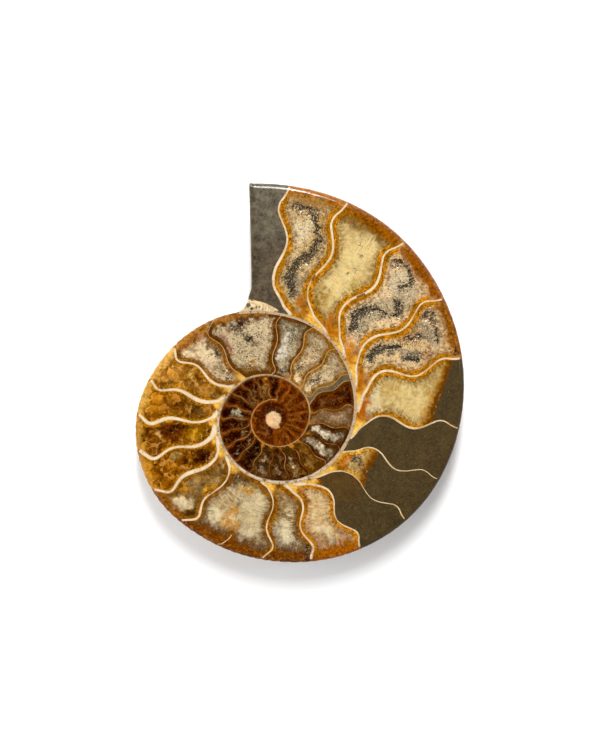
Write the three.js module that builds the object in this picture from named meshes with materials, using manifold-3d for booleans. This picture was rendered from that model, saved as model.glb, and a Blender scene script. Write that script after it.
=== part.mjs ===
// A fossil ammonite sawn in half along its plane of symmetry and polished on the cut.
// One natural solid, lying on its outer flank with the cut face up.
// Millimetres, +Z up, +Y towards the aperture end, origin under the middle of the outline.
import * as THREE from "three";
import { mergeVertices } from "three/addons/utils/BufferGeometryUtils.js";
import Module from "manifold-3d";

// Driving dimensions.
const KNOT_STEP = 30; // degrees of growth between two radii of the shell wall
const FIRST_KNOT = -630; // growth angle of the first radius, in degrees; the mouth is near 455
const WALL_RADII = [
  6.4, 6.5, 6.7, 6.9, 7.0, 7.3, 7.7, 8.5, 9.5, 10.7, 12.0, 12.8, // the small inner turn
  13.9, 15.1, 15.9, 17.0, 17.4, 18.1, 19.0, 20.5, 22.3, 24.6, 27.0, 30.3, // the middle turn
  32.3, 35.2, 38.1, 41.4, 42.2, 41.3, 42.5, 46.2, 51.3, 56.3, 61.9, 67.7, // the last turn
  70.9, 72.9,
];
const THICKNESS = 16; // cut face down to the flattest part of the flank
const MOUTH = [
  [-7.4, 80], [-7.3, 71], [-6.6, 39], [-7.6, 36.6], [-8.6, 33.7], [-11.2, 31.9], [-12, 29],
]; // the broken mouth from the outside inwards, seen from the coil's axis
const MOUTH_REACH = 90; // far enough to clear the whole shell
const MOUTH_ANGLE = 95; // direction of the mouth seen from the axis, in degrees
const PAST_MOUTH = 15; // the last turn is swept this much too far, then cut
const FIRST_COIL = 3.6; // radius of the boss at the very start
const UMBILICUS = 0.25; // radius of the umbilical seam as a share of the whorl's radius
const RIM_ROUND = 1.6; // polished rounding where the cut face meets the outside
const FLAT_FROM = 185; // the flank is at its full depth from this growth angle on
const FLANK_START = 0.24; // where the level part of the flank starts and ends, across the whorl
const FLANK_END = 0.32;
const SEAM_DEPTH = 0.35; // depth of the umbilical wall's foot as a share of the whorl's depth
const STEP = 6; // degrees between two sections

const rad = THREE.MathUtils.degToRad;

// Radius of the shell's outer wall at a growth angle: a cubic through the logarithms of the radii.
function wallRadius(angle) {
  const last = WALL_RADII.length - 1;
  const at = THREE.MathUtils.clamp((angle - FIRST_KNOT) / KNOT_STEP, 0, last);
  const i = Math.min(Math.floor(at), last - 1);
  const log = (k) => Math.log(WALL_RADII[THREE.MathUtils.clamp(k, 0, last)]);
  const t = at - i;
  const [a, b, c, d] = [log(i - 1), log(i), log(i + 1), log(i + 2)];
  return Math.exp(
    b + 0.5 * t * (c - a + t * (2 * a - 5 * b + 4 * c - d + t * (3 * (b - c) + d - a))),
  );
}

// Depth of the flank below the cut face, before its outline across the whorl is applied.
function wallDepth(angle) {
  return THICKNESS * Math.min(1, wallRadius(angle) / wallRadius(FLAT_FROM));
}

// The flank's depth across the whorl as a share of its greatest depth, from seam (0) to venter (1).
function flank(q) {
  if (q < FLANK_START) {
    const t = 1 - q / FLANK_START;
    return SEAM_DEPTH + (1 - SEAM_DEPTH) * Math.pow(1 - Math.pow(t, 3), 1 / 2.2);
  }
  if (q <= FLANK_END) return 1;
  const t = (q - FLANK_END) / (1 - FLANK_END);
  return Math.pow(1 - Math.pow(t, 2.1), 1 / 1.8);
}

const ACROSS = [
  1, 0.992, 0.975, 0.945, 0.9, 0.84, 0.76, 0.67, 0.57, 0.46, FLANK_END,
  FLANK_START, 0.13, 0.07, 0.025, 0,
];
const ROUND_STEPS = 4;

// Half section of the whorl at one growth angle, as (distance from the axis, height) pairs.
function section(angle) {
  const radius = wallRadius(angle);
  const seam = UMBILICUS * radius;
  const round = Math.min(RIM_ROUND, 0.1 * radius);
  const points = [new THREE.Vector2(seam, 0)];
  for (let k = 0; k < ROUND_STEPS; k++) {
    const turn = (k / ROUND_STEPS) * (Math.PI / 2);
    points.push(
      new THREE.Vector2(radius - round * (1 - Math.sin(turn)), -round * (1 - Math.cos(turn))),
    );
  }
  const below = wallDepth(angle) - round;
  for (const q of ACROSS)
    points.push(new THREE.Vector2(seam + (radius - seam) * q, -round - below * flank(q)));
  return points;
}

// A closed solid that sweeps the section from one growth angle to another.
function whorl(from, to) {
  const steps = Math.round((to - from) / STEP);
  const size = section(from).length;
  const positions = [];
  const faces = [];
  for (let i = 0; i <= steps; i++) {
    const angle = from + ((to - from) * i) / steps;
    for (const p of section(angle))
      positions.push(p.x * Math.cos(rad(angle)), p.x * Math.sin(rad(angle)), p.y);
  }
  for (let i = 0; i < steps; i++)
    for (let k = 0; k < size; k++) {
      const a = i * size + k;
      const b = i * size + ((k + 1) % size);
      faces.push(a, b, a + size, b, b + size, a + size);
    }
  const cap = (angle, start, flip) => {
    for (const [a, b, c] of THREE.ShapeUtils.triangulateShape(section(angle), []))
      faces.push(...(flip ? [start + a, start + b, start + c] : [start + a, start + c, start + b]));
  };
  cap(from, 0, true);
  cap(to, steps * size, false);
  const geometry = new THREE.BufferGeometry();
  geometry.setAttribute("position", new THREE.Float32BufferAttribute(positions, 3));
  geometry.setIndex(faces);
  return geometry;
}

const wasm = await Module();
wasm.setup();

function toSolid(geometry) {
  const bare = geometry.clone();
  bare.deleteAttribute("normal");
  bare.deleteAttribute("uv");
  const merged = mergeVertices(bare, 1e-4);
  const mesh = new wasm.Mesh({
    numProp: 3,
    vertProperties: merged.attributes.position.array,
    triVerts: new Uint32Array(merged.index.array),
  });
  return new wasm.Manifold(mesh);
}

function toGeometry(solid) {
  const mesh = solid.getMesh();
  const geometry = new THREE.BufferGeometry();
  geometry.setAttribute("position", new THREE.BufferAttribute(mesh.vertProperties.slice(), 3));
  geometry.setIndex(new THREE.BufferAttribute(mesh.triVerts.slice(), 1));
  return geometry;
}

// Everything past the mouth: the last turn ends there in an almost straight break, and the foot
// of the break runs out onto the turn below in a small ledge.
function pastTheMouth() {
  const outline = new THREE.Shape(MOUTH.map(([x, y]) => new THREE.Vector2(x, y)));
  outline.lineTo(-MOUTH_REACH, 0);
  outline.lineTo(-MOUTH_REACH, MOUTH_REACH);
  const block = new THREE.ExtrudeGeometry(outline, { depth: 2 * MOUTH_REACH, bevelEnabled: false });
  return block.translate(0, 0, -MOUTH_REACH);
}

// The first, tiny coil fills the bottom of the umbilicus.
function firstCoil() {
  const depth = 0.8 * wallDepth(FIRST_KNOT);
  const dome = [
    [0, -depth], [0.6, -0.9 * depth], [0.9, -0.6 * depth], [1, 0], [0, 0],
  ].map(([r, z]) => new THREE.Vector2(r * FIRST_COIL, z));
  return new THREE.LatheGeometry(dome, 24).rotateX(Math.PI / 2);
}

// The last turn over the turns that it grew on, in overlapping half turns.
function ammonite() {
  const halfTurns = [];
  for (let half = 0; half < 6; half++) {
    const to = MOUTH_ANGLE + 360 - 180 * half;
    const tube = toSolid(whorl(to - 180, half ? to : to + PAST_MOUTH));
    halfTurns.push(half ? tube : tube.subtract(toSolid(pastTheMouth())));
  }
  const joined = halfTurns.reduce((sum, next) => sum.add(next), toSolid(firstCoil()));
  const bodies = joined.decompose(); // flat slivers can remain where two half turns meet
  return toGeometry(bodies.sort((a, b) => b.volume() - a.volume())[0]);
}

const geometry = ammonite();
geometry.computeBoundingBox();
const { min, max } = geometry.boundingBox;
geometry.translate(-(min.x + max.x) / 2, -(min.y + max.y) / 2, -min.z);

const stone = new THREE.MeshStandardMaterial({
  color: 0xa8742a,
  roughness: 0.25,
  metalness: 0,
});
const fossil = new THREE.Mesh(geometry, stone);
fossil.name = "ammonite";

const part = new THREE.Group();
part.add(fossil);

export default part;
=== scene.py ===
"""Looks of a fossil ammonite half: the polished cut face and the natural shell under it.

Everything is worked out from the spiral of the shell wall. A point of the cut face is known by its
growth angle (degrees along the spiral) and by how far across the whorl it lies (0 at the inner
wall, 1 at the outer wall). Lengths are millimetres until the mesh is made.
"""
import math

import bpy
import numpy as np
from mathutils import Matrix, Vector, kdtree, noise
from mathutils.geometry import delaunay_2d_cdt


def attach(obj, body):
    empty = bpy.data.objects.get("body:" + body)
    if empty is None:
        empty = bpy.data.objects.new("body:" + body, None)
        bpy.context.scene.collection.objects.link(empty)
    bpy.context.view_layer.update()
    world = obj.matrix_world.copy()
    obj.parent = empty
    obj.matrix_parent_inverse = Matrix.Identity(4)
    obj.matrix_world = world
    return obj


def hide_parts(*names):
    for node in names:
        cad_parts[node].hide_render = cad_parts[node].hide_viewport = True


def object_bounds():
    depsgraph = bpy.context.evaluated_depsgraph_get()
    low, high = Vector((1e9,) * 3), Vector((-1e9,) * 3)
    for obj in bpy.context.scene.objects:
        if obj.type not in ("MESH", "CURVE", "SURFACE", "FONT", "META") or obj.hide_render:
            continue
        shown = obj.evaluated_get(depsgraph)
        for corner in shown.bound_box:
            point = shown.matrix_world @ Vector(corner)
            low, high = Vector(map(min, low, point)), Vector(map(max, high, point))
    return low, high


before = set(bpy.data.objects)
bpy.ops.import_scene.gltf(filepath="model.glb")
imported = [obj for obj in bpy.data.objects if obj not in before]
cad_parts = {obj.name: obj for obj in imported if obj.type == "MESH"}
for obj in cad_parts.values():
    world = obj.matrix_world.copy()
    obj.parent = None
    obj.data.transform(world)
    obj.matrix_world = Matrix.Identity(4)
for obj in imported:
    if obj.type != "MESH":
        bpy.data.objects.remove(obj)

CAD_BOX = [[float(v) for v in corner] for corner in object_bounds()]
MM = 0.001
TURN = 360  # degrees
FAR = 1e9

# ---------------------------------------------------------------- the spiral

KNOT_STEP = 30  # degrees of growth between two radii of the shell wall
FIRST_KNOT = -780
WALL_RADII = [
    3.2, 3.8, 4.6, 5.3, 5.9,  # the first chambers
    6.2, 6.3, 6.5, 6.8, 7.1, 7.5, 8.0, 8.8, 9.8, 10.8, 11.9, 12.5,  # the small inner turn
    13.5, 14.8, 15.7, 16.9, 17.4, 18.1, 19.0, 20.5, 22.3, 24.6, 27.0, 30.3,  # the middle turn
    32.3, 35.2, 38.1, 41.4, 42.2, 41.3, 42.5, 46.2, 51.3, 56.3, 61.9, 67.7,  # the last turn
    70.9, 72.9,
]
MOUTH_ANGLE = 455.0
LEDGE_ANGLE = 469.3  # the foot of the broken mouth reaches this far
BREAK_ANGLE = 470.5  # the flank of the last turn stops here
MOUTH = [(-7.35, 70.0), (-7.1, 62.0), (-6.8, 50.0), (-6.6, 39.5), (-7.1, 38.0), (-7.6, 36.6),
         (-7.7, 35.6), (-8.6, 33.9), (-10.3, 32.5)]  # the broken edge from the rim inwards
INNERMOST = 2.9  # radius of the round first chamber


def smooth(xs, ys, x):
    """A smooth curve through the points (xs, ys), read at x."""
    xs, ys, x = np.asarray(xs, float), np.asarray(ys, float), np.asarray(x, float)
    slope = np.gradient(ys, xs)
    i = np.clip(np.searchsorted(xs, x, side="right") - 1, 0, len(xs) - 2)
    step = xs[i + 1] - xs[i]
    t = np.clip((x - xs[i]) / step, 0, 1)
    low = (1 + 2 * t) * (1 - t) ** 2 * ys[i] + t * (1 - t) ** 2 * step * slope[i]
    return low + t * t * (3 - 2 * t) * ys[i + 1] + t * t * (t - 1) * step * slope[i + 1]


def wall_radius(angle):
    """Radius of the shell wall at a growth angle."""
    knots = FIRST_KNOT + KNOT_STEP * np.arange(len(WALL_RADII))
    return np.exp(smooth(knots, np.log(WALL_RADII), angle))


def inner_radius(angle):
    """Radius of the wall that the whorl lies on, one turn further in."""
    return np.where(angle - TURN < FIRST_KNOT, INNERMOST, wall_radius(angle - TURN))


def polar(points):
    """Radius and direction of points."""
    return np.hypot(*points.T), np.degrees(np.arctan2(points[:, 1], points[:, 0]))


def ray(angle):
    """Unit vector at each growth angle."""
    turn = np.radians(angle)
    return np.stack([np.cos(turn), np.sin(turn)], -1)


def whorl_place(points):
    """Growth angle and place across the whorl of points of the cut face."""
    radius, direction = polar(points)
    angle = direction + TURN
    for turn in (0, -1, -2):
        inside = (radius < wall_radius(direction + TURN * turn)) | (angle > BREAK_ANGLE + 4)
        angle = np.where(inside, direction + TURN * turn, angle)
    inner = inner_radius(angle)
    return angle, (radius - inner) / np.maximum(wall_radius(angle) - inner, 0.5)


def plan(angle, across):
    """Plan position of a place in the whorl."""
    inner = inner_radius(angle)
    return ray(angle) * (inner + across * (wall_radius(angle) - inner))[:, None]


def wall_width(angle):
    """Thickness of the shell wall between two turns."""
    return smooth([-640, -300, -150, -60, 20, 60, 110], [0.32, 0.46, 0.88, 1.15, 0.9, 0.75, 0.8], angle)


# ---------------------------------------------------------------- the septa

# Each septum: growth angle at mid whorl, then how many degrees its inner lobe, outer lobe, outer end
# and foot lie ahead of that, and its thickness.
SEPTA = [
    (445.6, 4.4, 3.0, 0.3, -4, 0.68), (430.6, 4.5, 3.0, 0.4, -10, 0.60),
    (412.9, 5.4, 3.2, 0.6, -9, 0.66), (395.1, 4.8, 3.0, 0.2, -11, 0.60),
    (377.2, 6.8, 2.7, 1.0, -9, 0.64), (356.6, 5.6, 3.2, 0.7, -8, 0.50),
    (338.0, 6.2, 3.5, 2.3, -2, 0.32), (321.4, 3.7, 3.6, 1.4, -15, 0.30),
    (302.4, 5.7, 4.2, 1.6, -12, 0.48), (284.0, 5.2, 3.3, 0.8, -3, 0.64),
    (266.3, 3.5, 3.4, -1.7, -6, 0.42), (228.9, 3.1, 3.3, -2.6, -9, 0.58),
    (211.9, 2.9, 2.9, -3.0, -12, 1.00), (195.5, 3.2, 2.5, -4.3, -7.5, 0.95),
    (178.9, 2.7, 2.8, -2.5, -5, 0.95), (162.5, 2.8, 2.7, -1.3, -6.5, 1.00),
    (144.6, 3.5, 3.5, -1.5, -3.5, 0.72), (124.9, 3.7, 2.7, -5.0, -1, 0.22),
    (87.2, 3.8, 1.3, -2.0, 4, 0.20), (68.0, 3.8, 2.0, -2.0, 0, 0.24),
    (49.0, 4.5, 2.4, -1.0, 0, 0.24), (31.0, 4.0, 2.0, 0.0, 6, 0.24),
    (26.5, 4.0, 2.0, 0.5, -2, 0.24), (9.0, 3.5, 2.7, -2.0, 0, 0.24),
    (-7.4, 3.6, 1.8, -2.0, -1, 0.24), (-23.6, 4.3, 2.3, -3.0, -2, 0.24),
    (-40.5, 4.0, 2.2, -1.0, -5, 0.24), (-57.9, 4.6, 2.3, -2.0, -2, 0.24),
    (-77.0, 5.0, 2.5, -2.0, -3, 0.24), (-95.3, 4.8, 2.2, -4.0, -4, 0.24),
    (-115.0, 4.3, 2.3, -2.0, -2, 0.24), (-133.5, 2.0, 2.3, -3.0, -5, 0.18),
    (-151.0, 3.0, 1.8, -2.5, -5, 0.18), (-167.0, 2.5, 2.2, -4.0, -6, 0.18),
    (-183.8, 2.8, 2.7, -2.0, 3, 0.18), (-200.0, 2.5, 3.0, -4.0, 6, 0.18),
    (-215.3, 1.8, 2.5, 1.0, 2, 0.18), (-231.0, 3.5, 3.5, 2.0, 8, 0.18),
    (-247.5, 3.8, 2.8, 2.0, 8, 0.18), (-264.0, 4.0, 2.0, 2.0, 6, 0.18),
]
SEPTA += [
    (-281.0 - 16.2 * k, 4.0 - 0.3 * k, 2.0 - 0.5 * k, 1 - 0.8 * k, 6 - 0.6 * k, 0.16) for k in range(11)
]
# The shape that all septa share: place across the whorl, then how much of its inner lobe, outer
# lobe, outer end and foot a septum has there.
SEPTUM_SHAPE = [
    (0.00, 0.00, 0.00, 0.00, 1.25), (0.02, 0.00, 0.00, 0.00, 1.00), (0.05, 0.02, 0.00, 0.00, 0.38),
    (0.10, 0.20, 0.00, 0.00, 0.05), (0.19, 0.90, 0.00, 0.00, 0.00), (0.27, 1.00, 0.00, 0.00, 0.00),
    (0.35, 0.78, 0.00, 0.00, 0.00), (0.43, 0.38, 0.00, 0.00, 0.00), (0.50, 0.10, 0.00, 0.00, 0.00),
    (0.57, 0.00, 0.00, 0.00, 0.00), (0.65, 0.00, 0.25, 0.00, 0.00), (0.71, 0.00, 0.62, 0.00, 0.00),
    (0.79, 0.00, 1.00, 0.00, 0.00), (0.85, 0.00, 0.88, 0.08, 0.00), (0.90, 0.00, 0.52, 0.33, 0.00),
    (0.95, 0.00, 0.22, 0.65, 0.00), (1.00, 0.00, 0.00, 1.00, 0.00),
]


def septum_angle(septum, across):
    """Growth angle of a septum's middle line at places across the whorl."""
    shape = np.array(SEPTUM_SHAPE)
    at, *amounts, _ = septum
    return smooth(shape[:, 0], at + shape[:, 1:] @ np.array(amounts), across)


def chamber_of(angle, across):
    """Number of the chamber that holds each place: 0 is the mouth, and each septum starts the next."""
    across = np.clip(across, 0, 1)
    return sum((angle < septum_angle(septum, across)).astype(int) for septum in SEPTA)


def sideways(along):
    """Unit vectors to the left of the given directions."""
    return np.stack([-along[:, 1], along[:, 0]], -1) / np.linalg.norm(along, axis=1)[:, None]


def septum_lines(septum, step):
    """The two edges of a septum's strip on the cut face, from the inner wall to the rim."""
    at, thickness = np.array([septum[0]]), septum[-1]
    height = float((wall_radius(at) - inner_radius(at))[0])
    across = np.linspace(0.0, 1.0, max(12, int(1.25 * height / step)))
    middle = plan(septum_angle(septum, across), across)
    uneven = 1 + 0.25 * np.sin(7 * across + septum[0])
    flare = 1 + 1.2 * np.exp(-across / 0.04)
    half = sideways(np.gradient(middle, axis=0)) * (0.5 * thickness * uneven * flare)[:, None]
    return middle - half, middle + half


# ---------------------------------------------------------------- outline and rim

RIM_ROUND = 1.6  # polished rounding of the rim
BREAK_ROUND = 0.45  # the broken mouth has hardly any
SPACING = 0.45  # between neighbouring points of the cut face
MOUTH_CORNER = [(-6.9, 71.15), (-7.3, 70.9)]  # where the rim ends
MOUTH_LOW, MOUTH_HIGH = (-12.0, 31.0), (-6.6, FAR)  # the box that the broken edge is in


def rim_notch(angle):
    """The worn ends of fine ribs nick the rim, most on the older half of the last turn."""
    worn = np.clip((330 - angle) / 60, 0.25, 1) * np.clip((angle - 112) / 15, 0, 1)
    ribs = 0.5 - 0.5 * np.cos(np.radians(angle) * 97 + 1.5 * np.sin(np.radians(angle) * 11))
    return worn * (0.05 + 0.13 * ribs**2)


def rim_radius(angle):
    """Radius of the worn outline at a growth angle."""
    return wall_radius(angle) - np.where((angle > 95) & (angle < MOUTH_ANGLE + 2), rim_notch(angle), 0)


def resample(points, spacing, closed=False):
    """Evenly spaced points along a line."""
    if closed:
        points = np.vstack([points, points[:1]])
    reach = np.concatenate([[0], np.cumsum(np.linalg.norm(np.diff(points, axis=0), axis=1))])
    count = max(2, int(round(reach[-1] / spacing)))
    at = np.linspace(0, reach[-1], count + 1)
    if closed:
        at = at[:-1]
    return np.stack([np.interp(at, reach, points[:, k]) for k in (0, 1)], -1)


def rounded(points, rounds=3):
    """Cuts the corners of an open line."""
    for _ in range(rounds):
        near = 0.75 * points[:-1] + 0.25 * points[1:]
        far = 0.25 * points[:-1] + 0.75 * points[1:]
        middle = np.stack([near, far], 1).reshape(-1, 2)
        points = np.vstack([points[:1], middle, points[-1:]])
    return points


def outline():
    """The closed outline, and the rounding of its edge at every point."""
    angles = np.arange(LEDGE_ANGLE - 360, MOUTH_ANGLE, 0.25)
    rim = ray(angles) * rim_radius(angles)[:, None]
    mouth = rounded(np.vstack([rim[-1:], MOUTH_CORNER, MOUTH, rim[:1]]))
    loop = resample(np.vstack([rim[:-1], mouth[:-1]]), SPACING, closed=True)
    blend = ((loop > MOUTH_LOW) & (loop < MOUTH_HIGH)).all(1).astype(float)
    for _ in range(6):
        blend = (np.roll(blend, 1) + blend + np.roll(blend, -1)) / 3
    return loop, RIM_ROUND + (BREAK_ROUND - RIM_ROUND) * blend


def tree_of(points):
    """A search tree of points."""
    tree = kdtree.KDTree(len(points))
    for i, point in enumerate(points):
        tree.insert((float(point[0]), float(point[1]), 0.0), i)
    tree.balance()
    return tree


def nearest(tree, points):
    """Number of the nearest tree point and the distance to it."""
    found = [tree.find((float(x), float(y), 0.0))[1:] for x, y in points]
    return np.array([f[0] for f in found]), np.array([f[1] for f in found])


def segment_distance(points, a, b):
    """Distance of points to the segments from a to b, and the share of the segment before that place."""
    way = b - a
    share = np.clip(((points - a) * way).sum(-1) / np.maximum((way**2).sum(-1), 1e-9), 0, 1)
    return np.linalg.norm(points - a - share[:, None] * way, axis=1), share


def loop_distance(loop, points):
    """Distance of points to a closed line, and the line's nearest point."""
    at, _ = nearest(tree_of(loop), points)
    before = segment_distance(points, loop[at - 1], loop[at])[0]
    after = segment_distance(points, loop[at], loop[(at + 1) % len(loop)])[0]
    return np.minimum(before, after), at


# ---------------------------------------------------------------- flank (the natural underside)

THICKNESS = 16.0
UMBILICUS = 0.25  # radius of a turn's inner seam as a share of the wall's
UMBILICUS_DEPTH = 1.2  # least depth below the cut face, in the middle
FULL_FROM = 185  # growth angle from where the flank has its full depth
FLANK_START = 0.24  # shares of the way from seam to rim where the flank starts and ends its flat top
FLANK_END = 0.32
SEAM_DEPTH = 0.35
MOUTH_FOOT_RADIUS = 34.5  # within it the flank ends at BREAK_ANGLE, further out at the broken edge


def flank(q):
    """Depth across the whorl as a share of its greatest depth, from seam (0) to venter (1)."""
    inner = np.clip(1 - q / FLANK_START, 0, 1)
    outer = np.clip((q - FLANK_END) / (1 - FLANK_END), 0, 1)
    rise = SEAM_DEPTH + (1 - SEAM_DEPTH) * (1 - inner**3) ** (1 / 2.2)
    return np.where(q < FLANK_END, rise, (1 - outer**2.1) ** (1 / 1.8))


def ribs(angle, q):
    """Faint S-shaped ribs and finer growth lines on the flank, as a depth to take away."""
    bend = angle + 5 * np.sin(2.6 * q) - 9 * q**2
    wide = 0.5 + 0.5 * np.cos(np.radians(bend) * 40)
    fine = 0.5 + 0.5 * np.cos(np.radians(bend) * 151 + 2 * np.sin(np.radians(bend) * 9))
    return (0.28 * wide * np.clip(q, 0, 1) ** 0.7 + 0.06 * fine) * np.clip((q - 0.02) / 0.15, 0, 1)


def turn_depth(angle, radius):
    """Depth of one turn's flank below the cut face, and the place across it."""
    rim = rim_radius(angle)
    seam = UMBILICUS * wall_radius(angle)
    q = (radius - seam) / (rim - seam)
    deepest = THICKNESS * np.minimum(1, wall_radius(angle) / wall_radius(FULL_FROM))
    rim_round = np.minimum(RIM_ROUND, 0.1 * rim)
    depth = rim_round + (deepest - rim_round) * flank(np.clip(q, 0, 1))
    fade = np.clip((1 - q) / 0.25, 0, 1) * np.clip((THICKNESS - depth) / 0.6, 0, 1)
    shrink = ribs(angle, q) * np.minimum(1, rim / 30) * fade
    return np.where((q < 0) | (q > 1.02), 0, depth - shrink), q


def underside(points, break_distance):
    """Depth of the natural underside, with the growth angle and place across the deepest turn."""
    radius, direction = polar(points)
    depth = np.full(len(points), UMBILICUS_DEPTH)
    angle = direction - 2 * TURN
    place = np.zeros(len(points))
    for turn in (-1, 0, 1):
        here = direction + TURN * turn
        found, q = turn_depth(here, radius)
        inner_end = radius * np.sin(np.radians(np.clip(BREAK_ANGLE - here, 0, 60)))
        to_break = np.minimum(break_distance, np.where(radius < MOUTH_FOOT_RADIUS, inner_end, FAR))
        steep = BREAK_ROUND + 15 * to_break + 6 * np.clip(to_break - 0.4, 0, 9)
        found = np.where(here > MOUTH_ANGLE - 60, np.minimum(found, steep), found)
        found = np.where(here > BREAK_ANGLE, 0, found)
        deeper = found > depth
        depth = np.where(deeper, found, depth)
        angle = np.where(deeper, here, angle)
        place = np.where(deeper, q, place)
    return depth, angle, place


# ---------------------------------------------------------------- what fills the chambers

# Colours are listed as they look on a screen.
AMBER = (186, 122, 28)
GOLD = (244, 190, 84)
ORANGE = (190, 122, 24)
RUST = (142, 82, 20)
OLIVE = (143, 107, 50)
DARK_GREY = (100, 86, 66)
MUD = (77, 61, 32)
BROWN = (92, 52, 18)
DARK = (62, 30, 12)

# Each chamber from the mouth inwards: fill at the inner side, fill at the outer side, lining, the
# lining's width, how grainy the crystals are and how much they stand in large blocks.
CHAMBERS = [
    ((88, 77, 59), (102, 92, 72), MUD, 0.0, 0.0, 0.0),
    ((198, 166, 114), (202, 168, 118), AMBER, 1.5, 1.0, 0.0),
    ((188, 157, 98), (200, 168, 108), AMBER, 1.5, 0.35, 0.0),
    ((233, 202, 158), (237, 198, 152), AMBER, 1.5, 1.0, 0.0),
    ((236, 203, 152), (206, 164, 116), AMBER, 1.5, 1.0, 0.0),
    ((198, 168, 106), (178, 144, 84), AMBER, 1.3, 0.35, 0.0),
    (MUD, MUD, MUD, 0.0, 0.0, 0.0),
    ((214, 182, 112), MUD, (220, 160, 60), 1.1, 0.4, 0.0),
    (MUD, MUD, MUD, 0.0, 0.0, 0.0),
    ((200, 154, 98), (190, 142, 94), (188, 120, 30), 1.2, 0.4, 0.0),
    ((158, 122, 76), (96, 72, 50), (150, 92, 22), 1.2, 0.4, 0.0),
    ((160, 137, 100), (124, 96, 70), (134, 86, 28), 1.1, 0.4, 0.1),
    ((126, 88, 28), (128, 94, 52), (150, 100, 36), 0.9, 0.3, 0.6),
    ((116, 70, 11), (158, 96, 18), AMBER, 0.6, 0.2, 1.0),
    ((130, 84, 20), (112, 60, 12), AMBER, 0.6, 0.2, 1.0),
    ((124, 82, 28), (150, 88, 12), AMBER, 0.6, 0.2, 0.9),
    ((156, 104, 34), (184, 126, 44), AMBER, 0.6, 0.2, 0.8),
    ((210, 186, 152), (244, 214, 174), (144, 94, 38), 1.3, 0.8, 0.0),
    ((190, 166, 130), (204, 182, 150), (104, 62, 22), 1.2, 0.95, 0.0),
    ((204, 188, 156), (80, 66, 46), (98, 58, 18), 0.9, 0.9, 0.0),
    ((232, 200, 152), (136, 110, 80), (150, 98, 28), 0.9, 1.0, 0.0),
    ((236, 208, 162), (162, 136, 102), (150, 106, 42), 0.85, 1.0, 0.0),
    ((112, 98, 74), (112, 98, 74), DARK_GREY, 0.0, 0.2, 0.0),
    ((80, 36, 5), (76, 30, 6), BROWN, 0.5, 0.1, 0.8),
    ((146, 110, 72), (118, 84, 62), (112, 66, 22), 0.6, 0.5, 0.4),
    ((78, 50, 20), (88, 54, 28), DARK, 0.6, 0.4, 0.6),
    ((82, 50, 19), (76, 46, 22), DARK, 0.6, 0.4, 0.6),
    ((114, 76, 24), (114, 74, 24), BROWN, 0.5, 0.3, 0.8),
    ((76, 48, 17), (126, 82, 34), DARK, 0.5, 0.3, 0.8),
    ((68, 34, 9), (86, 52, 26), DARK, 0.4, 0.3, 0.8),
    ((64, 36, 13), (86, 54, 30), DARK, 0.4, 0.3, 0.8),
    ((28, 7, 2), (48, 15, 4), BROWN, 0.3, 0.2, 0.9),
]
# The chambers further in: OLD_COUNT of one kind, then those of the innermost coil.
OLD_COUNT = 9
OLD_CHAMBER = ((42, 14, 4), (68, 25, 5), (124, 62, 14), 0.32, 0.2, 0.9)
INNER_CHAMBER = ((76, 28, 4), (112, 50, 5), (150, 76, 12), 0.34, 0.15, 0.8)

MUD_CHAMBERS = (0, 6, 8)
# Below these lines the chamber was open when the mud came in, and calcite grew there later.
MUD_LINES = {
    5: [(355, 0.69), (360, 0.72), (365, 0.74), (370, 0.785), (374, 0.84), (379, 0.91)],
    7: [(324, 0.42), (327, 0.375), (331, 0.33), (336, 0.32), (345, 0.335)],
}

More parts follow.
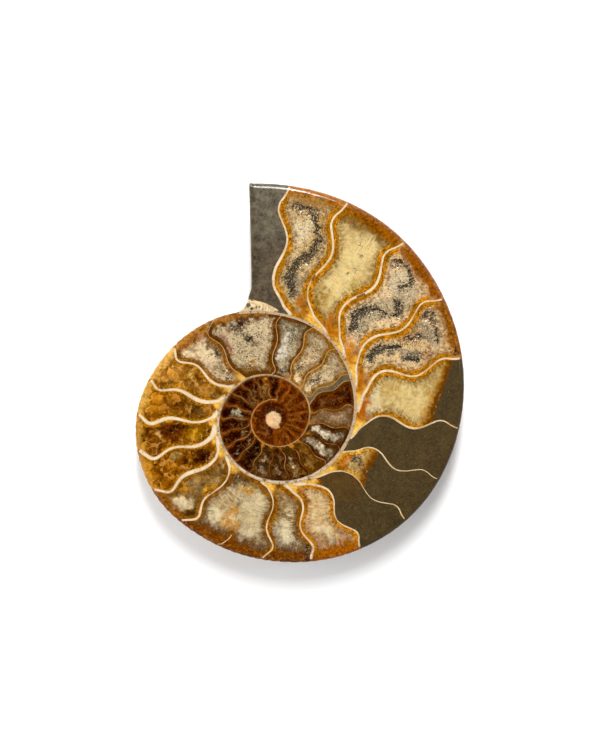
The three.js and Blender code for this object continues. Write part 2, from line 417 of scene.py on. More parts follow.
# Patches of other colour: the line that each follows (growth angle, place across), its half width,
# how softly it ends and its colour. A patch stays in the chamber that its first point is in.
PATCHES = [
    ([(452, 0.0), (452, 0.35)], 4.0, 6.0, (88, 75, 56)),
    ([(441.5, 0.3), (441.3, 0.18)], 1.5, 1.2, (142, 122, 94)),
    ([(441, 0.7), (443, 0.6)], 1.5, 1.5, (222, 200, 165)),
    ([(434, 0.95), (445, 0.94)], 1.6, 1.2, (176, 132, 74)),
    ([(434.5, 0.7), (436.5, 0.8)], 0.8, 1.0, (196, 150, 80)),
    ([(417, 0.93), (430, 0.91)], 2.2, 1.8, OLIVE),
    ([(422.5, 0.75), (423.5, 0.5), (424, 0.35)], 2.4, 3.0, (222, 194, 134)),
    ([(428.5, 0.26), (429.5, 0.14)], 1.4, 1.5, (164, 128, 60)),
    ([(418.5, 0.45)], 1.0, 1.5, (196, 166, 90)),
    ([(403.5, 0.76), (402.5, 0.6), (406, 0.48), (408.5, 0.33), (408.5, 0.25)], 2.2, 1.5, (176, 156, 126)),
    ([(407.5, 0.8), (408, 0.68)], 1.4, 1.2, (206, 186, 156)),
    ([(404, 0.93), (411, 0.92)], 1.0, 1.2, (190, 150, 110)),
    ([(387.5, 0.78), (391, 0.72)], 2.0, 1.2, (152, 132, 106)),
    ([(384.3, 0.57), (384.8, 0.53)], 1.6, 0.8, (126, 112, 94)),
    ([(388, 0.5), (391, 0.42), (393, 0.3), (392.5, 0.22)], 1.0, 1.0, (160, 140, 112)),
    ([(391.7, 0.64), (392.8, 0.52)], 1.0, 1.2, (196, 144, 84)),
    ([(383.3, 0.74), (383, 0.66)], 0.8, 0.8, (150, 92, 40)),
    ([(388, 0.92), (391, 0.9)], 1.4, 1.2, (216, 190, 150)),
    ([(366.5, 0.13), (371, 0.1), (374, 0.14)], 1.6, 2.4, (222, 200, 158)),
    ([(364, 0.5), (370, 0.5)], 2.4, 2.6, (206, 176, 116)),
    ([(365, 0.03), (369, 0.03)], 0.4, 1.6, (176, 88, 14)),
    ([(375, 0.36), (376, 0.3)], 1.2, 1.5, (196, 162, 96)),
    ([(362, 0.68), (368, 0.74)], 1.4, 1.5, (190, 150, 80)),
    ([(328.5, 0.31), (332, 0.25)], 0.9, 0.8, (204, 186, 150)),
    ([(331.5, 0.25), (335, 0.2), (335.5, 0.16)], 0.7, 0.6, (150, 125, 90)),
    ([(326, 0.1), (329, 0.06), (333, 0.08)], 1.2, 1.0, (206, 122, 22)),
    ([(315, 0.1), (318, 0.3)], 2.5, 4.0, (86, 62, 26)),
    ([(295.3, 0.82), (294.8, 0.7), (293.6, 0.6)], 0.8, 1.6, (232, 208, 168)),
    ([(291.2, 0.9), (292, 0.74)], 1.5, 1.2, (178, 130, 90)),
    ([(299.5, 0.86), (301, 0.78)], 1.4, 1.2, (188, 138, 98)),
    ([(297, 0.42), (298, 0.28)], 2.4, 3.0, (214, 176, 124)),
    ([(290.8, 0.3), (291, 0.14)], 0.8, 0.8, (176, 106, 40)),
    ([(288, 0.97), (300, 0.97)], 2.0, 2.2, (160, 94, 24)),
    ([(272, 0.62), (273.5, 0.78)], 1.8, 1.5, (162, 142, 118)),
    ([(276.6, 0.68), (277, 0.5)], 0.7, 1.1, (214, 196, 164)),
    ([(270, 0.97), (281, 0.97)], 2.8, 2.2, (100, 66, 38)),
    ([(276, 0.04), (283.5, 0.06)], 1.0, 1.0, (192, 132, 34)),
    ([(269.5, 0.5), (270.5, 0.4)], 1.0, 0.8, (150, 110, 40)),
    ([(256.5, 0.7), (258, 0.6)], 1.4, 2.4, (208, 188, 154)),
    ([(256, 0.45), (257.5, 0.28)], 2.6, 3.4, (194, 172, 134)),
    ([(239, 0.5), (240.5, 0.35)], 2.2, 3.0, (172, 142, 102)),
    ([(238, 0.7), (239, 0.62)], 0.9, 0.8, (218, 198, 162)),
    ([(241.5, 0.85), (244, 0.78)], 1.2, 1.2, (160, 135, 110)),
    ([(243.6, 0.69), (245.4, 0.6), (246.4, 0.49)], 1.0, 1.0, (196, 138, 56)),
    ([(247.5, 0.72), (250.5, 0.66)], 1.0, 1.0, (188, 130, 58)),
    ([(233, 0.97), (264, 0.97)], 2.8, 2.4, (104, 70, 42)),
    ([(232, 0.17), (238, 0.1), (243, 0.06)], 1.7, 1.4, (88, 56, 26)),
    ([(246.5, 0.18), (251, 0.17)], 0.8, 0.8, (196, 140, 46)),
    ([(246.5, 0.38)], 0.4, 0.4, (126, 110, 80)),
    ([(255, 0.05), (262, 0.08)], 1.2, 1.2, (150, 106, 32)),
    ([(221, 0.83), (224.5, 0.75)], 1.2, 0.9, (206, 186, 152)),
    ([(216.5, 0.69), (218, 0.66)], 0.9, 0.8, (186, 122, 24)),
    ([(227, 0.47), (228.5, 0.38)], 0.7, 0.9, (204, 144, 36)),
    ([(228.2, 0.85), (229, 0.78)], 0.8, 0.8, (74, 38, 8)),
    ([(215, 0.07), (222, 0.08)], 0.9, 0.8, (204, 160, 110)),
    ([(206.5, 0.33), (207, 0.22)], 1.1, 0.8, (74, 38, 10)),
    ([(200.5, 0.33), (201, 0.28)], 0.9, 0.7, (80, 44, 14)),
    ([(196, 0.96), (207, 0.96)], 1.2, 1.6, (196, 134, 44)),
    ([(200.5, 0.57)], 1.1, 0.7, (132, 104, 60)),
    ([(186.5, 0.6), (188, 0.52)], 1.6, 1.2, (106, 54, 10)),
    ([(187.3, 0.71)], 0.6, 0.6, (218, 172, 104)),
    ([(190.5, 0.28)], 1.4, 1.2, (190, 136, 34)),
    ([(182, 0.97), (192, 0.97)], 1.2, 1.6, (182, 124, 44)),
    ([(185.5, 0.06)], 1.0, 0.8, (58, 34, 14)),
    ([(167, 0.86), (173, 0.82)], 1.5, 1.5, (178, 114, 24)),
    ([(168, 0.3), (172, 0.25)], 1.4, 1.3, (106, 70, 30)),
    ([(165, 0.96), (177, 0.96)], 1.2, 1.6, (206, 142, 44)),
    ([(149, 0.95), (160, 0.95)], 1.8, 1.8, (212, 148, 60)),
    ([(151.5, 0.57)], 0.8, 0.5, (226, 184, 92)),
    ([(151, 0.46)], 0.8, 0.6, (104, 60, 8)),
    ([(155, 0.12), (158, 0.1)], 1.4, 1.2, (108, 76, 30)),
    ([(130.5, 0.74), (129.3, 0.6), (129, 0.5)], 0.6, 0.6, (112, 92, 64)),
    ([(129, 0.93), (141, 0.92)], 1.3, 1.0, (180, 112, 50)),
    ([(130.5, 0.86), (133, 0.84)], 0.8, 0.8, (186, 140, 110)),
    ([(137.3, 0.37), (136, 0.3)], 0.8, 0.8, (160, 136, 102)),
    ([(113, 0.75), (111, 0.68), (107.5, 0.6), (105.5, 0.53)], 0.7, 0.6, (112, 97, 76)),
    ([(98, 0.97), (108.5, 0.94)], 1.6, 0.9, (66, 36, 8)),
    ([(107, 0.87), (109, 0.8)], 0.8, 0.5, (72, 36, 8)),
    ([(122.6, 0.68), (122.3, 0.5)], 0.9, 0.9, (172, 130, 112)),
    ([(109.5, 0.17)], 0.8, 0.5, (178, 118, 28)),
    ([(94, 0.13), (99, 0.05)], 1.0, 0.8, (112, 76, 26)),
    ([(114, 0.1), (121, 0.1)], 1.4, 1.2, (128, 90, 34)),
    ([(101, 0.48), (104, 0.47)], 0.5, 0.5, (140, 120, 96)),
    ([(113, 0.95), (121, 0.95)], 0.9, 0.7, (166, 104, 22)),
    ([(73.5, 0.85), (80.5, 0.8)], 1.0, 0.7, (112, 102, 82)),
    ([(80, 0.7), (81, 0.5), (83, 0.3)], 0.6, 0.8, (214, 204, 192)),
    ([(77, 0.13), (80, 0.1)], 0.7, 0.6, (122, 106, 86)),
    ([(72, 0.6), (73, 0.45)], 0.5, 0.5, (164, 144, 112)),
    ([(-16, 0.7), (-15.5, 0.5), (-13, 0.3), (-11, 0.16)], 0.62, 0.45, (206, 194, 174)),
    ([(-14.5, 0.82)], 0.6, 0.5, (150, 138, 116)),
    ([(-32.5, 0.64), (-32, 0.45), (-29, 0.28), (-27.5, 0.15)], 0.8, 0.45, (198, 184, 160)),
    ([(-31, 0.8)], 0.9, 0.4, (134, 122, 102)),
    ([(0.5, 0.78), (2, 0.6), (0, 0.42), (4, 0.25)], 0.7, 0.8, (134, 102, 72)),
    ([(-66.5, 0.77)], 0.5, 0.5, (142, 120, 92)),
    ([(-66.8, 0.6), (-67, 0.45), (-65, 0.32)], 0.3, 0.35, (196, 176, 148)),
    ([(-84, 0.72), (-85.5, 0.55)], 0.3, 0.4, (150, 125, 98)),
    ([(-188.5, 0.6), (-188, 0.5), (-186.5, 0.34)], 0.75, 0.6, (170, 162, 146)),
    ([(-193.5, 0.45)], 0.5, 0.4, (152, 148, 118)),
    ([(-104, 0.74), (-103.5, 0.66)], 0.5, 0.4, (138, 118, 98)),
    ([(-105, 0.55), (-105, 0.42), (-101, 0.3)], 0.25, 0.3, (150, 128, 104)),
    ([(-139, 0.76), (-139, 0.7)], 0.25, 0.25, (166, 150, 130)),
    ([(-137, 0.3), (-139, 0.22)], 0.4, 0.5, (128, 96, 72)),
    ([(-155, 0.25)], 0.5, 0.5, (124, 92, 66)),
    ([(-222, 0.35), (-219, 0.2)], 0.8, 0.7, (120, 84, 56)),
    ([(-236, 0.3)], 0.9, 0.7, (120, 86, 58)),
    ([(-256, 0.5), (-254, 0.25)], 0.9, 0.8, (126, 90, 54)),
    ([(-256, 0.85), (-262, 0.7)], 0.8, 0.7, (176, 112, 40)),
]

# The same for patches that also tint the lining.
LINING_PATCHES = [
    ([(433, 0.05), (436.5, 0.08), (437.5, 0.13)], 0.3, 1.6, (170, 104, 26)),
    ([(414, 0.05), (419, 0.05), (421, 0.12)], 0.3, 2.0, (176, 102, 18)),
    ([(397, 0.04), (402, 0.04), (405, 0.1)], 0.3, 2.0, (196, 122, 28)),
    ([(380, 0.03), (385, 0.04), (389, 0.08)], 0.3, 2.2, (190, 114, 24)),
    ([(364, 0.03), (368, 0.04), (371, 0.07)], 0.4, 2.2, (170, 88, 12)),
    ([(437, 0.93), (445, 0.92)], 0.4, 1.3, (166, 122, 66)),
    ([(93, 0.985), (121, 0.985)], 0.4, 1.0, (150, 98, 44)),
]
# Where the lining glows along the rim: from and to which growth angle, half width, softness, colour.
RIM_PLACE = 0.98
RIM_PATCHES = [
    (433, 446, 1.0, 1.6, (164, 96, 26)),
    (416, 430, 1.6, 2.2, (144, 82, 8)),
    (398, 411, 1.9, 2.2, (136, 74, 12)),
    (381, 395, 1.4, 2.0, (138, 80, 20)),
    (288, 303, 1.0, 2.2, (168, 92, 16)),
    (269, 283, 1.3, 1.8, (106, 54, 9)),
    (232, 265, 1.0, 1.8, (114, 60, 12)),
    (215, 226, 0.9, 1.6, (136, 76, 14)),
    (198, 209, 0.9, 1.4, (204, 140, 40)),
    (181, 193, 0.9, 1.4, (192, 138, 52)),
    (165, 177, 0.9, 1.4, (210, 160, 72)),
    (147, 160, 0.9, 1.4, (216, 166, 84)),
    (127, 141, 0.7, 1.4, (164, 110, 46)),
]

# Open druzy pockets, with the half width of each.
POCKETS = [
    ([(444.3, 0.85), (438.6, 0.84), (437.8, 0.76), (435.9, 0.64), (435.7, 0.57)], 0.6),
    ([(435.9, 0.56), (438.5, 0.47), (441.4, 0.41), (443.2, 0.35), (444, 0.29)], 0.9),
    ([(443.4, 0.28), (442.8, 0.2), (441.5, 0.17)], 0.65),
    ([(404.3, 0.83), (408, 0.855), (411.8, 0.855), (412.3, 0.81)], 0.4),
    ([(405, 0.76), (406.5, 0.72)], 0.35),
    ([(400.3, 0.6), (403.5, 0.625)], 0.5),
    ([(400.2, 0.58), (401, 0.53)], 0.4),
    ([(403.7, 0.49), (406.5, 0.45), (409, 0.43)], 0.35),
    ([(410, 0.37), (411.2, 0.31), (412.8, 0.285)], 0.95),
    ([(411.5, 0.26), (409, 0.2)], 0.85),
    ([(386.5, 0.81), (389, 0.84)], 0.3),
    ([(391.5, 0.835), (394.2, 0.83), (394.5, 0.79)], 0.5),
    ([(391.6, 0.55), (390.4, 0.6), (389.5, 0.68)], 0.35),
    ([(390.5, 0.46), (392, 0.38)], 0.5),
    ([(393.3, 0.34), (393.8, 0.27), (392.8, 0.2)], 0.85),
    ([(383.2, 0.6), (383.5, 0.53), (385, 0.5)], 0.35),
    ([(422, 0.67)], 0.3),
    ([(421.2, 0.56)], 0.25),
    ([(423.3, 0.49)], 0.2),
    ([(423.3, 0.74)], 0.15),
    ([(380.2, 0.952), (381, 0.952)], 0.8),
    ([(332, 0.25), (333.5, 0.19), (335.8, 0.185)], 0.35),
    ([(333, 0.155), (335.6, 0.165)], 0.3),
    ([(283.2, 0.97), (284.4, 0.9), (285.4, 0.85)], 0.95),
    ([(109.3, 0.85), (108.2, 0.79)], 0.4),
    ([(112.8, 0.76)], 0.3),
    ([(105.7, 0.54)], 0.3),
    ([(129, 0.57), (129, 0.51)], 0.25),
    ([(134.6, 0.24), (136, 0.16), (138.5, 0.15)], 0.15),
    ([(62.8, 0.34), (63.6, 0.22)], 0.18),
    ([(42.6, 0.38), (43.6, 0.27)], 0.18),
    ([(80, 0.09)], 0.25),
]


def line_distance(points, line):
    """Distance of points to a line, or to a single place, given in whorl places."""
    corners = plan(*np.array(line, float).T)
    ends = corners[1:] if len(corners) > 1 else corners
    return np.min([segment_distance(points, a, b)[0] for a, b in zip(corners, ends)], axis=0)


WHITE_LEVEL = 1.57  # the floor gets this much more light than it takes to look white


def linear(colour):
    """Surface colour that looks like these screen values in this light."""
    c = np.asarray(colour, float) / 255
    return np.where(c <= 0.04045, c / 12.92, ((c + 0.055) / 1.055) ** 2.4) / WHITE_LEVEL


PLAIN_FEET = (445.6, 338.0, 87.2, 26.5)  # septa with no golden corner


def foot_patches():
    """The golden corner in front of each septum's foot."""
    for at, inner, _, _, foot, _ in SEPTA:
        if at < -130 or at in PLAIN_FEET:
            continue
        size = 1.5 if at > 340 else 0.8 if at > 300 else 1.1 if at > 100 else 0.4
        line = [(at + 0.8 * foot + 0.6, 0.02), (at + 0.15 * foot + 1.6, 0.05), (at + 0.6 * inner, 0.1)]
        yield line, 0.1 * size, 2.6 * size, RUST
        yield line[:2], 0.2 * size, 2.4 * size, ORANGE
        if at > 100:
            yield line[:2], 0.3 * size, 2.0 * size, GOLD


def rim_patches():
    """The golden bands along the rim."""
    for start, end, radius, soft, colour in RIM_PATCHES:
        yield [(start, RIM_PLACE), (end, RIM_PLACE)], radius, soft, colour


# The pale wedge under the broken mouth, with its grey spots.
LEDGE_COLOUR = (236, 208, 168)
SPOT_COLOUR = (104, 98, 84)
LEDGE = [(-8.2, 36.0), (-5.7, 35.8), (-2.9, 35.2), (-0.2, 33.9), (1.7, 32.7), (1.0, 32.3), (-2.0, 32.1),
         (-6.0, 31.0), (-12.0, 31.0)]
LEDGE_SPOTS = [((-7.6, 34.4), 0.75), ((-6.5, 33.3), 0.5), ((-5.1, 33.9), 0.3), ((-4.2, 33.9), 0.3)]
LEDGE_SHIFT = (0, 0.05)  # takes the points on its upper edge into it
# The round chamber that the shell started with.
FIRST_COLOUR = (230, 178, 134)
FIRST_GRAIN = 0.4
FIRST_SHRINK = 0.98  # takes the points on its edge into it
FIRST_CHAMBER = [(-0.1, 2.3), (-1.2, 1.9), (-1.9, 1.1), (-2.0, 0.2), (-1.7, -0.9), (-1.0, -1.7), (-0.1, -2.2),
                 (1.0, -2.5), (1.6, -2.1), (1.2, -1.4), (1.5, -1.0), (2.0, -0.5), (1.9, 0.7), (1.3, 1.8)]
# Darker stretches of the septa, with their half width.
STAIN_SOFT = 0.3
STAINS = [
    ([(434.6, 0.36), (433.2, 0.27), (431.5, 0.2)], 0.5),
    ([(414.3, 0.45), (415.5, 0.4)], 0.35),
    ([(431.2, 0.06), (430.3, 0.02)], 0.4),
    ([(398.5, 0.3), (398.2, 0.22)], 0.2),
    ([(228.8, 0.48), (229.5, 0.4)], 0.2),
    ([(286.2, 0.25), (287, 0.3)], 0.35),
]


def ledge_outline():
    """The outline of the pale wedge under the mouth, and its upper edge."""
    top = resample(rounded(np.array(LEDGE[1:5])), STRIP_STEP)
    return np.vstack([LEDGE[:1], top, LEDGE[5:]]), top


def stroke(points, line, radius, soft):
    """Strength of a soft stroke at points."""
    strength = np.clip((radius + soft - line_distance(points, line)) / soft, 0, 1)
    return strength * strength * (3 - 2 * strength)


def shaken(points):
    """Points moved about a little, which gives painted strokes natural edges."""
    moved = []
    for x, y in points:
        wide = noise.noise_vector(Vector((x / 1.9, y / 1.9, 0.0)))
        close = noise.noise_vector(Vector((x / 0.7, y / 0.7, 5.0)))
        moved.append((x + 1.3 * wide.x + 0.7 * close.x, y + 1.3 * wide.y + 0.7 * close.y))
    return np.array(moved)


def home_of(line):
    """The chamber that a stroke's first point is in."""
    return int(chamber_of(np.array([line[0][0]]), np.array([line[0][1]]))[0])


def chamber_rows(chamber):
    """Fill at the inner and outer side, lining, its width, grain and block of each point's chamber."""
    rows = CHAMBERS + [OLD_CHAMBER] * OLD_COUNT
    rows += [INNER_CHAMBER] * (len(SEPTA) + 1 - len(rows))
    return [np.array(column, float)[chamber] for column in zip(*rows)]


# How far inside the mud a point is: open crystal is below 0, and these are for whole chambers.
MUDDY = 5.0
CLEAN = -5.0
NO_POCKET = -3.0
MUD_MARGIN = 0.3  # the mud's colour starts this far before its line
FOOT_REACH = 0.2  # golden corners reach this far across a whorl that is full of mud
POCKET_SPREAD = 1.2


def chamber_look(points):
    """Everything that the finish reads at the points of the cut face."""
    angle, across = whorl_place(points)
    chamber = chamber_of(angle, across)
    inner, outer, lining, width, grain, block = chamber_rows(chamber)
    share = np.clip(across, 0, 1)[:, None]
    fill = linear(inner) * (1 - share) + linear(outer) * share
    lining = linear(lining)
    mud = np.where(np.isin(chamber, MUD_CHAMBERS), MUDDY, CLEAN)
    height = wall_radius(angle) - wall_radius(angle - TURN)
    for number, line in MUD_LINES.items():
        here = chamber == number
        above = (across - np.interp(angle, *np.array(line).T)) * height
        mud = np.where(here, above, mud)
        fill = np.where((here & (above > -MUD_MARGIN))[:, None], linear(MUD), fill)
        width = np.where(here & (above > 0), 0, width)
    loose = shaken(points)
    clean = (mud < 0) | (mud == MUDDY)
    for line, radius, soft, colour in PATCHES:
        here = np.flatnonzero((chamber == home_of(line)) & clean)
        fill[here] += stroke(loose[here], line, radius, soft)[:, None] * (linear(colour) - fill[here])
    glow = np.zeros(len(points))
    for line, radius, soft, colour in [*foot_patches(), *rim_patches(), *LINING_PATCHES]:
        here = np.flatnonzero((chamber == home_of(line)) & ((mud < 0) | (across < FOOT_REACH)))
        strength = stroke(loose[here], line, radius, soft)
        for layer in (fill, lining):
            layer[here] += strength[:, None] * (linear(colour) - layer[here])
        glow[here] = np.maximum(glow[here], strength)
        mud[here] = np.minimum(mud[here], 3 - 8 * strength)
    pocket = np.full(len(points), NO_POCKET)
    for line, radius in POCKETS:
        here = np.flatnonzero(chamber == home_of(line))
        pocket[here] = np.maximum(pocket[here], POCKET_SPREAD * radius - line_distance(loose[here], line))
    stain = np.zeros(len(points))
    for line, radius in STAINS:
        stain = np.maximum(stain, stroke(points, line, radius, STAIN_SOFT))
    ledge = (chamber == 0) & inside_polygon(points - LEDGE_SHIFT, ledge_outline()[0])
    first = inside_polygon(FIRST_SHRINK * points, np.array(FIRST_CHAMBER))
    fill[ledge] = linear(LEDGE_COLOUR)
    fill[first] = linear(FIRST_COLOUR)
    width[first] = 0
    for centre, radius in LEDGE_SPOTS:
        spot = ledge & (np.linalg.norm(points - centre, axis=1) < radius)
        fill[spot] = linear(SPOT_COLOUR)
    return {
        "angle": angle, "across": across, "fill": fill, "lining": lining,
        "lining_width": width, "mud": np.where(ledge, CLEAN, mud), "pocket": pocket, "stain": stain,
        "glow": glow, "grain": np.where(first, FIRST_GRAIN, grain), "block": np.where(first, 0, block),
    }


# ---------------------------------------------------------------- points and triangles

STRIP_STEP = 0.38  # along the septa and walls
WALL_FROM = -640  # growth angles between which the wall is a strip of its own
WALL_TO = 107.9
WALL_EDGES = (-0.92, 0.08)  # its two edges, in wall widths from the wall's radius
PARTIAL_SEPTUM = [(245.8, 0.975), (247.2, 0.95), (248.4, 0.9), (249.4, 0.85), (250, 0.79)]
PARTIAL_HALF = 0.13
OFFSETS = [0.03, 0.1, 0.2, 0.34, 0.52, 0.76, 1.0]  # rows of points over the rounding of the rim
MIDDLE_GAP = 0.4  # septa wider than this get a middle row of points
FINE_REACH = 1.1  # points are closer together this near to a pocket or a spot
RNG = np.random.default_rng(7)
noise.seed_set(1)


def inside_polygon(points, polygon):
    """Whether each point lies in a closed polygon."""
    inside = np.zeros(len(points), bool)
    low, high = polygon.min(0), polygon.max(0)
    near = np.flatnonzero(((points >= low) & (points <= high)).all(1))
    x, y = points[near].T
    odd = np.zeros(len(near), bool)
    for (ax, ay), (bx, by) in zip(polygon, np.roll(polygon, -1, axis=0)):
        if ay != by:
            odd ^= ((ay > y) != (by > y)) & (x < (bx - ax) * (y - ay) / (by - ay) + ax)
    inside[near] = odd
    return inside


def wall_edges():
    """The two edges of the shell wall between the turns."""
    angles = np.arange(WALL_FROM, WALL_TO, 0.5)
    for share in WALL_EDGES:
        radius = wall_radius(angles) + share * wall_width(angles)
        yield resample(ray(angles) * radius[:, None], STRIP_STEP)


def is_wall(points):
    """Whether each point lies in the shell wall between the turns."""
    radius, direction = polar(points)
    found = np.zeros(len(points), bool)
    for turn in (0, -1, -2):
        angle = direction + TURN * turn
        gap = (radius - wall_radius(angle)) / wall_width(angle)
        low, high = WALL_EDGES
        found |= (gap > low) & (gap < high) & (angle > WALL_FROM) & (angle < WALL_TO)
    return found


def septum_strips():
    """The two edges of each septum on the cut face, and of the one that starts and ends in a chamber."""
    for septum in SEPTA:
        left, right = septum_lines(septum, STRIP_STEP)
        if septum[0] > 100:
            keep = np.maximum(np.hypot(*left.T), np.hypot(*right.T)) < rim_radius(septum[0]) - 0.4
            keep |= np.arange(len(left)) < len(left) // 2
            left, right = left[keep], right[keep]
        yield left, right
    partial = resample(plan(*np.array(PARTIAL_SEPTUM, float).T), STRIP_STEP)
    side = PARTIAL_HALF * sideways(np.gradient(partial, axis=0))
    yield partial - side, partial + side


def chain(points, line, edges, closed=False):
    """Adds a line to the points, and its edges."""
    first = sum(len(p) for p in points)
    points.append(line)
    count = len(line)
    edges += [(first + i, first + (i + 1) % count) for i in range(count if closed else count - 1)]


def field(low, high, spacing):
    """Points of a shaken triangular grid over a box."""
    row_height = 0.866 * spacing
    rows = int((high[1] - low[1]) / row_height) + 1
    columns = int((high[0] - low[0]) / spacing) + 1
    j, i = np.mgrid[:rows, :columns]
    grid = np.stack([low[0] + (i + 0.5 * (j % 2)) * spacing, low[1] + row_height * j], -1).reshape(-1, 2)
    return grid + RNG.uniform(-0.18, 0.18, grid.shape) * spacing


def thinned(points, against, gap):
    """The points that are further than a gap from all the others."""
    return points[nearest(tree_of(against), points)[1] > gap]


def triangulate(points, edges, loop):
    """Triangles inside the outline, facing up, with the given lines kept as edges."""
    corners = [Vector((float(x), float(y))) for x, y in points]
    found = delaunay_2d_cdt(corners, edges, [], 1, 1e-5, False)
    flat = np.array([corner[:] for corner in found[0]])
    faces = np.array([face for face in found[2] if len(face) == 3])
    a, b, c = (flat[faces[:, k]] for k in range(3))
    area = (b[:, 0] - a[:, 0]) * (c[:, 1] - a[:, 1]) - (b[:, 1] - a[:, 1]) * (c[:, 0] - a[:, 0])
    faces[area < 0] = faces[area < 0][:, ::-1]
    faces = faces[(np.abs(area) > 1e-7) & inside_polygon(flat[faces].mean(1), loop)]
    used = np.unique(faces)
    renumber = np.zeros(len(flat), int)
    renumber[used] = np.arange(len(used))
    return flat[used], renumber[faces]


def rim_rows(loop, rounding, lines):
    """Rows of points over the rounding of the rim, clear of the other lines."""
    inward = sideways(np.roll(loop, -1, axis=0) - np.roll(loop, 1, axis=0))
    for offset in OFFSETS:
        row = loop + inward * (rounding * offset)[:, None]
        clear = loop_distance(loop, row)[0] > 0.9 * rounding * offset
        yield thinned(row[clear], lines, 0.12)


def fine_points(loop):
    """Closer points around the pockets and spots."""
    lines = [np.array(line * 2 if len(line) == 1 else line, float) for line, _ in POCKETS]
    places = [resample(plan(*line.T), 0.3) for line in lines] + [[centre] for centre, _ in LEDGE_SPOTS]
    fine = field(loop.min(0), loop.max(0), 0.5 * SPACING)
    return fine[nearest(tree_of(np.vstack(places)), fine)[1] < FINE_REACH]


def coarse_points(loop):
    """Points that fill the rest of the cut face."""
    coarse = field(loop.min(0), loop.max(0), SPACING)
    coarse = coarse[inside_polygon(coarse, loop)]
    return coarse[loop_distance(loop, coarse)[0] > 0.3]


CHAMBER, SEPTUM, WALL, SHELL, BREAK, OLD_SEPTUM, OLDEST_SEPTUM = range(7)  # the order of the finishes


def cut_face(loop, rounding):
    """Flat positions and triangles of the cut face, with the finish of each triangle and all strip lines."""
    points, edges = [], []
    strips = list(septum_strips())
    walls = list(wall_edges())
    ledge_top = ledge_outline()[1]
    chain(points, loop, edges, closed=True)
    chain(points, ledge_top, edges)
    chain(points, ledge_top + (0.03, 0.09), edges)
    chain(points, resample(np.array(FIRST_CHAMBER), 0.2, closed=True), edges, closed=True)
    for left, right in strips:
        chain(points, np.vstack([left, right[::-1]]), edges, closed=True)
    for line in walls:
        chain(points, line, edges)
    wide = [(left, right) for left, right in strips if np.linalg.norm(left[-3] - right[-3]) > MIDDLE_GAP]
    points += [0.5 * (left + right)[1:-1] for left, right in wide]
    points += list(rim_rows(loop, rounding, np.vstack(points[1:])))
    points.append(thinned(fine_points(loop), np.vstack(points), 0.14))
    points.append(thinned(coarse_points(loop), np.vstack(points), 0.75 * SPACING))
    flat, faces = triangulate(np.vstack(points), edges, loop)
    middle = flat[faces].mean(1)
    kind = np.full(len(faces), CHAMBER)
    for (left, right), at in zip(strips, [septum[0] for septum in SEPTA] + [PARTIAL_SEPTUM[0][0]]):
        finish = SEPTUM if at > 130 else OLD_SEPTUM if at > -290 else OLDEST_SEPTUM
        kind[inside_polygon(middle, np.vstack([left, right[::-1]]))] = finish
    kind[is_wall(middle)] = WALL
    return flat, faces, kind, [line for pair in strips for line in pair] + walls


FLANK_ROWS = [0.0, 0.004, 0.03, 0.07, 0.12, 0.17, 0.22, 0.27, 0.33, 0.4, 0.47, 0.54, 0.6, 0.66, 0.71, 0.76,
              0.8, 0.84, 0.87, 0.9, 0.925, 0.945, 0.962, 0.976, 0.987, 0.994, 0.998]  # from seam to rim
UMBILICUS_ROWS = [0.995, 0.96, 0.9, 0.8, 0.7, 0.6, 0.5, 0.4, 0.3, 0.2, 0.1]  # from the seam to the middle
BREAK_ROWS = [0.03, 0.22, 0.42, 0.6, 0.78, 0.95, 1.3]  # from the broken edge inwards


def underside_points(loop):
    """Flat positions and triangles of the natural underside, and the line of the broken edge."""
    points, edges = [], []
    chain(points, loop, edges, closed=True)
    columns = np.arange(LEDGE_ANGLE - 359, BREAK_ANGLE, 1.2)
    seam = UMBILICUS * wall_radius(columns)
    radii = [seam + q * (rim_radius(columns) - seam) for q in FLANK_ROWS]
    radii += [share * seam for share in UMBILICUS_ROWS]
    rows = np.vstack([ray(columns) * radius[:, None] for radius in radii])
    mouth = resample(rounded(np.array([(-7.35, 70.9)] + MOUTH)), 0.5)
    inward = sideways(np.gradient(mouth, axis=0))
    end = math.radians(BREAK_ANGLE)
    out = np.array([math.cos(end), math.sin(end)])
    across = np.array([math.sin(end), -math.cos(end)])
    foot = np.arange(6.0, 34.0, 0.5)[:, None] * out
    breaks = [mouth + inward * row for row in BREAK_ROWS]
    breaks += [foot + across * row for row in [*BREAK_ROWS, -0.05]]
    breaks = np.vstack(breaks)
    breaks = breaks[loop_distance(loop, breaks)[0] > 0.02]
    rows = rows[loop_distance(loop, rows)[0] > 0.05]
    points += [breaks, thinned(rows, breaks, 0.2)]
    return (*triangulate(np.vstack(points), edges, loop), mouth)


# ---------------------------------------------------------------- the stone as a mesh

AWAY = 9.0  # a distance that counts as far from every line
POCKET_DEPTH = 1.1
POCKET_EDGE = 0.1  # a pocket starts this far outside its line
POCKET_SLOPE = 0.45
BREAK_BAND = 1.1  # width of the broken face, seen from above
RIM_SHARE = 0.45  # the rim's distance counts this much when the nearest wall is looked for
LINE_SHIFT = 61.0  # keeps the noise along different lines apart
FIT = 0.9994  # a hair smaller, so that the stone stays inside the box of the CAD part


